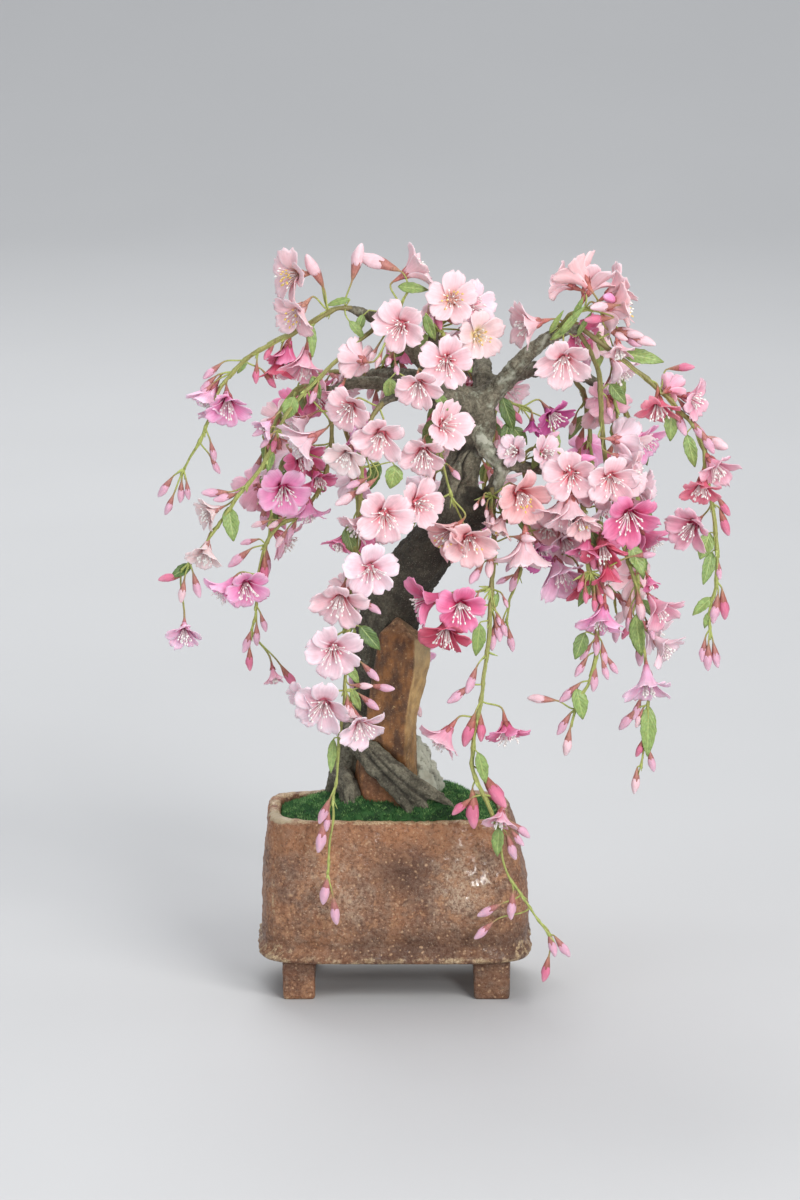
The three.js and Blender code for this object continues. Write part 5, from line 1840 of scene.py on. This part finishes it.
            (121, -11, -17, 1.3, "palebud"), (109.5, -65, -16, 1.2), (116.5, -60, -17, 1),
            (118, -64, -16, 0.9, "palebud"), (118, -78.5, -16, 0.9, "hotbud"), (127, -86, -16, 1),
            (117, -97, -16, 1.15, "palebud"), (115, 20, -10, 0.9), (112, 50, -8, 0.9),
            (127, -20, -16, 0.9), (114, -16, -15, 1), (106, 90, -6, 0.9),
        ],
        "leaves": [
            (118.5, 20, -15, 25, 17, 9, 0.15), (119, -18, -17, 5, 22, 9, 0.3),
            (124, -65.5, -17, 0, 26, 9, 0.2), (109, 103, -6, 40, 13, 7, 0.6),
            (104, 62, -6, -20, 13, 6, 0.6),
        ],
    },
    "right_crest": {
        "twig": [(78, 134, -8), (86, 143, -10), (98, 148, -9)],
        "blooms": [
            (88, 166, -8, -140, 40, 13, "peach", 0.55), (97, 163, -2, 130, 60, 13, "salmon", 0.5),
            (114, 148, -10, 95, 10, 13.5, "peach", 0.6), (82, 118, -34, 0, -30, 14.5, "salmon", 0.95),
            (60, 136.5, -20, -70, -10, 13, "salmon", 0.55), (112, 158, 4, 110, 30, 12, "salmon", 0.5),
            (108, 141, -8, 110, -35, 11.5, "salmon", 0.55), (79, 160, -2, -110, 20, 11, "salmon", 0.6),
        ],
        "buds": [
            (128, 127.5, -18, 1.3, "palebud", 70, -15), (122, 132, -18, 1.2, "palebud", 70, -5),
            (92, 140, -26, 1.2, "hotbud", -70, 0), (118, 134, -14, 1, "palebud", 70, -5),
            (102, 152, -22, 1.3, "lilac", -30, 20), (95, 146, -26, 1.3, "palebud", -60, 0),
            (121, 127, -16, 1.1, "bud", 60, -20), (114, 130, -18, 1, "palebud", 60, -20),
        ],
        "leaves": [
            (86, 140, -20, 140, 20, 4, 0.1), (82, 135, -18, 130, 17, 3.6, 0.2),
            (78, 139, -14, 150, 14, 3, 0), (89, 146, -18, 155, 13, 3.4, 0.3),
            (121.5, 121.5, -12, 80, 21, 8, 0.2), (92, 138, -12, 150, 14, 3, 0.1),
        ],
    },
    "right_outer": {
        "twig": [
            (89, 137, -9), (104, 126, -13), (122, 112, -16), (130, 105, -18), (140, 95, -20),
            (150, 82, -22), (154, 60, -23), (158, 31, -24), (159, 20, -24), (158, 7, -24), (155, -8, -24),
            (155, -20, -24),
        ],
        "blooms": [
            (129, 93.5, -26, 0, -60, 12.5, "warm", 0.8), (136.5, 107, -18, 150, 10, 8, "pink", 0.5),
            (149, 100, -22, 70, -10, 11.5, "pink", 0.75), (160, 63, -28, 50, -45, 12, "pink", 0.55),
            (150.5, 53, -30, -10, -55, 11.5, "warm", 0.6), (143, 34, -28, -35, -20, 13.5, "pink", 0.65),
            (110, 122, -20, 20, -60, 8, "salmon", 0.4),
        ],
        "buds": [
            (147.5, 116.5, -18, 1.1, "hotbud", 85, 5), (143, 82, -21, 1.2), (153, 79, -22, 1.2),
            (157, 73, -23, 1.2), (164, 76, -24, 1.5, "palebud", 40, -10), (165, 42, -24, 1, "hotbud"),
            (164.5, 32, -24, 1.2, "hotbud"), (156.5, -12, -24, 1.3), (162.5, -10, -24, 1.3, "hotbud"),
            (160, 10, -24, 0.8), (154, -35.5, -24, 1.2), (159, -34, -24, 1.1), (151, -31, -24, 1),
            (146, 92, -20, 0.9),
        ],
        "leaves": [
            (135.5, 87, -20, 0, 15, 8, 0.3), (145.5, 74.5, -22, 15, 17, 7, 0.3),
            (152.5, 27, -24, -20, 14, 9, 0.2), (154, 16, -25, -15, 17, 7, 0.4),
            (151, -3, -24, -50, 13, 6, 0.2), (153.5, -10, -24, -20, 9, 4, 0.2),
        ],
    },
    "right_behind": {
        "twig": [(46, 102, 2), (54, 99, 8), (60, 97, 10)],
        "blooms": [(78, 90, 10, 40, -35, 12, "magenta", 0.8), (66, 84, 8, 0, -80, 5, "magenta", 0.1)],
        "buds": [(61, 88, 8, 0.9, "hotbud"), (71, 80, 9, 0.9, "magenta")],
        "leaves": [
            (54, 93, 4, 20, 18, 8, 0.8), (53, 82, 4, -10, 14, 7, 0.8), (60, 82, 8, 40, 12, 7, 0.8),
            (78, 79, 8, 10, 12, 5, 0.1),
        ],
    },
    "centre_behind": {
        "twig": [(62, 66, -9), (63, 50, -4), (62, 30, 0), (60, 14, 2), (55, 0, 3), (53, -10, 3)],
        "blooms": [
            (68, 19, -10, -5, -45, 9, "magenta", 0.5), (82, 8, -14, 20, -40, 15, "lavender", 0.4),
            (84, 26, -4, 20, -30, 12, "pale", 0.5), (74, 34, 2, 0, -20, 12, "salmon", 0.6),
            (94, 4, -12, 30, -50, 11, "rose", 0.4), (72, 22, -10, 30, -40, 9, "lilac", 0.4),
        ],
        "buds": [
            (50, -20, 3, 0.9), (56.5, -26, -2, 1), (55, 4, 2, 1.1), (48, 8, 3, 0.8), (53, 14, 2, 0.8),
        ],
        "leaves": [(60, 40, -2, 20, 12, 5, 0.6)],
    },
}

# The back of the crown: how many flowers stand in turn along each twig, facing out and down, and
# the twig.
BACK_SHOOTS = {
    "back_left_far": (5, [
        (-31, 105, 66), (-28, 90, 84), (-22, 60, 92), (-20, 30, 94), (-22, 0, 92), (-24, -30, 90),
    ]),
    "back_left_high": (5, [
        (-14, 112, 52), (-38, 113, 58), (-55, 99, 66), (-62, 76, 70), (-64, 50, 71), (-66, 28, 70),
    ]),
    "back_left_side": (4, [(-32, 105, 0), (-48, 107, 14), (-60, 94, 26), (-67, 72, 32), (-69, 50, 32)]),
    "back_middle_far": (6, [
        (30, 105, 84), (22, 92, 97), (14, 62, 101), (8, 30, 99), (4, 0, 95), (2, -30, 92), (2, -60, 90),
    ]),
    "back_middle_right": (4, [(36, 117, 64), (48, 108, 82), (46, 82, 92), (42, 56, 92), (39, 34, 90)]),
    "back_middle_near": (3, [(40, 118, 32), (28, 112, 48), (20, 93, 56), (21, 70, 58), (26, 54, 58)]),
    "back_right_high": (5, [
        (84, 114, 48), (92, 102, 64), (95, 80, 76), (98, 50, 80), (104, 22, 78), (108, -6, 76),
    ]),
    "back_right_far": (5, [
        (104, 104, 61), (114, 92, 60), (119, 66, 56), (119, 40, 52), (119, 12, 50), (120, -18, 48),
    ]),
    "back_top": (3, [(20, 131, 0), (19, 134, 20), (8, 134, 38), (-5, 125, 48), (-12, 108, 52)]),
    "back_top_right": (5, [
        (74, 130, -7), (84, 138, 12), (98, 134, 28), (106, 120, 38), (108, 96, 42), (110, 74, 42),
    ]),
}
GOLDEN_ANGLE = 137.5
BACK_REACH = 12  # from a back shoot's twig to the middle of a flower's mouth
BACK_SIDE_REACH = 9  # from it to a bud or to the middle of a leaf
BACK_END_DROP = 16  # from its end down to the tip of the last bud
BACK_LEAF = (15, 7)  # length and width
BACK_RADII = [12.5, 11, 13, 12]
BACK_TONES = ["salmon", "pale", "pink", "salmon", "lilac", "pale", "hot"]
FRONT_SEED = 100
BACK_SEED = 200


def leaf_tint(dark):
    """A leaf's colour between light and dark."""
    return [a * (1 - dark) + b * dark for a, b in zip(LEAF_LIGHT, LEAF_DARK)]


def front_shoot(name, data, seed, finishes):
    """A shoot whose flowers, buds and leaves each have a place of their own."""
    shoot = Shoot(name, data["twig"], seed)
    for *place, turn, tilt, radius, tone, spread in data["blooms"]:
        shoot.flower(at(place), facing(turn, tilt), radius, tone, spread)
    for across, up, back, size, *rest in data["buds"]:
        tone, *look = rest or ["bud"]
        shoot.bud(at((across, up, back)), size, tone, facing(*look) if look else None)
    for *place, lean, length, width, dark in data["leaves"]:
        lean = math.radians(lean)
        way = unit(np.array([math.sin(lean), shoot.rng.uniform(-0.35, 0.1), -math.cos(lean)]))
        face = unit(np.array([shoot.rng.uniform(-0.4, 0.4), -1, 0.35]))
        shoot.leaf(at(place), way, face, length, width, leaf_tint(dark))
    for place, tips, size, tone in data.get("umbels", []):
        shoot.umbel(at(place), [at(tip) for tip in tips], size, tone)
    shoot.show(finishes, f"shoot_{name}")


def back_shoot(name, count, twig, seed, finishes):
    """A shoot that nothing in front shows, grown by rule."""
    shoot = Shoot(name, twig, seed)
    rng = shoot.rng
    last = len(shoot.line) - 1
    for i in range(count):
        spot = shoot.line[int((i + 1) / (count + 0.3) * last)]
        way = facing(180 + (i * GOLDEN_ANGLE) % 260 - 130, -25 - 12 * (i % 3))
        tone = BACK_TONES[(i + seed) % len(BACK_TONES)]
        radius = BACK_RADII[i % len(BACK_RADII)]
        shoot.flower(spot + way * BACK_REACH, way, radius, tone, rng.uniform(0.55, 0.95))
    shoot.bud(shoot.line[-1] - [0, 0, BACK_END_DROP], 1.1, "bud")
    for share in np.arange(0.2, 1, 0.09):
        spot = shoot.line[int(share * last)]
        side = unit(np.array([rng.normal(), abs(rng.normal()), -0.4]))
        tone = rng.choice(["bud", "hotbud", "palebud"])
        shoot.bud(spot + side * BACK_SIDE_REACH + [0, 0, -12], rng.uniform(0.9, 1.2), tone)
    for share in (0.25, 0.45, 0.65, 0.85):
        spot = shoot.line[int(share * last)]
        way = unit(np.array([rng.normal(0, 0.5), abs(rng.normal(0, 0.5)), -1]))
        face = unit(np.array([rng.uniform(-0.4, 0.4), 1, 0.35]))
        tint = leaf_tint(rng.uniform(0, 0.8))
        shoot.leaf(spot + way * BACK_SIDE_REACH, way, face, *BACK_LEAF, tint)
    shoot.show(finishes, f"shoot_{name}")


def shoots():
    """Every shoot, front and back, in the same four materials."""
    finishes = {
        "petal": petal_finish(), "stamen": stamen_finish(), "twig": twig_finish(),
        "leaf": leaf_finish(),
    }
    for seed, (name, data) in enumerate(SHOOTS.items(), FRONT_SEED):
        front_shoot(name, data, seed, finishes)
    for seed, (name, (count, twig)) in enumerate(BACK_SHOOTS.items(), BACK_SEED):
        back_shoot(name, count, twig, seed, finishes)


# ------------------------------------------------------------------ studio
# The sweep that the model stands on, in metres back and up.
SWEEP_FRONT = (-4, 0)
SWEEP_TOP = (3.7, 6)
SWEEP_BEND = 2.2  # how far back its curve starts
SWEEP_RADIUS = 1.2
SWEEP_HALF = 9  # half its width


def floor():
    """A plain pale sweep: floor, a wide curve and a wall far behind."""
    bends = np.linspace(0, 1.4, 24)
    line = [SWEEP_FRONT]
    for bend in bends:
        up = SWEEP_RADIUS * (1 - math.cos(bend))
        line.append((SWEEP_BEND + math.sin(bend) * SWEEP_RADIUS, up))
    line.append(SWEEP_TOP)
    points = [(x, y, z) for y, z in line for x in (-SWEEP_HALF, SWEEP_HALF)]
    faces = [(2 * i, 2 * i + 1, 2 * i + 3, 2 * i + 2) for i in range(len(line) - 1)]
    mesh = bpy.data.meshes.new("floor")
    mesh.from_pydata(points, [], faces)
    mesh.shade_smooth()
    mesh.materials.append(floor_finish())
    shown("floor", mesh)


def lamp(name, place, size, power, colour=(1, 1, 1), target=(0, 0, 0.18)):
    """A square soft light that faces a target, in metres and watts."""
    data = bpy.data.lights.new(name, "AREA")
    data.size = size
    data.energy = power
    data.color = colour
    light = shown(name, data)
    light.location = place
    way = Vector(target) - Vector(place)
    light.rotation_euler = way.to_track_quat("-Z", "Y").to_euler()


def studio():
    """The floor, the lamps and the sky."""
    floor()
    lamp("key", (1.1, -1.5, 1.5), 0.9, 29, (1, 0.98, 0.95))
    lamp("fill", (-1.6, -1.2, 0.9), 1.6, 10, (0.95, 0.98, 1))
    lamp("back", (-0.4, 1.5, 1.6), 1.2, 18)
    lamp("spark", (0.62, -1.9, 0.75), 0.35, 14)
    lamp("top", (0, 1.4, 3.4), 3.6, 48, target=(0, 2.2, 0))
    world = bpy.data.worlds.new("studio")
    world.use_nodes = True
    sky = world.node_tree.nodes["Background"].inputs
    sky["Color"].default_value = (0.9, 0.93, 1, 1)
    sky["Strength"].default_value = 0.4
    bpy.context.scene.world = world
    bpy.context.scene.view_settings.view_transform = "Standard"


# ------------------------------------------------------------------ the whole model
camera()
studio()
pot(pot_finish())
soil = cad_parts["soil"].data.materials
soil.clear()
soil.append(soil_finish())
moss(moss_finish())
stone(stone_finish())
tree(bark_finish())
shoots()
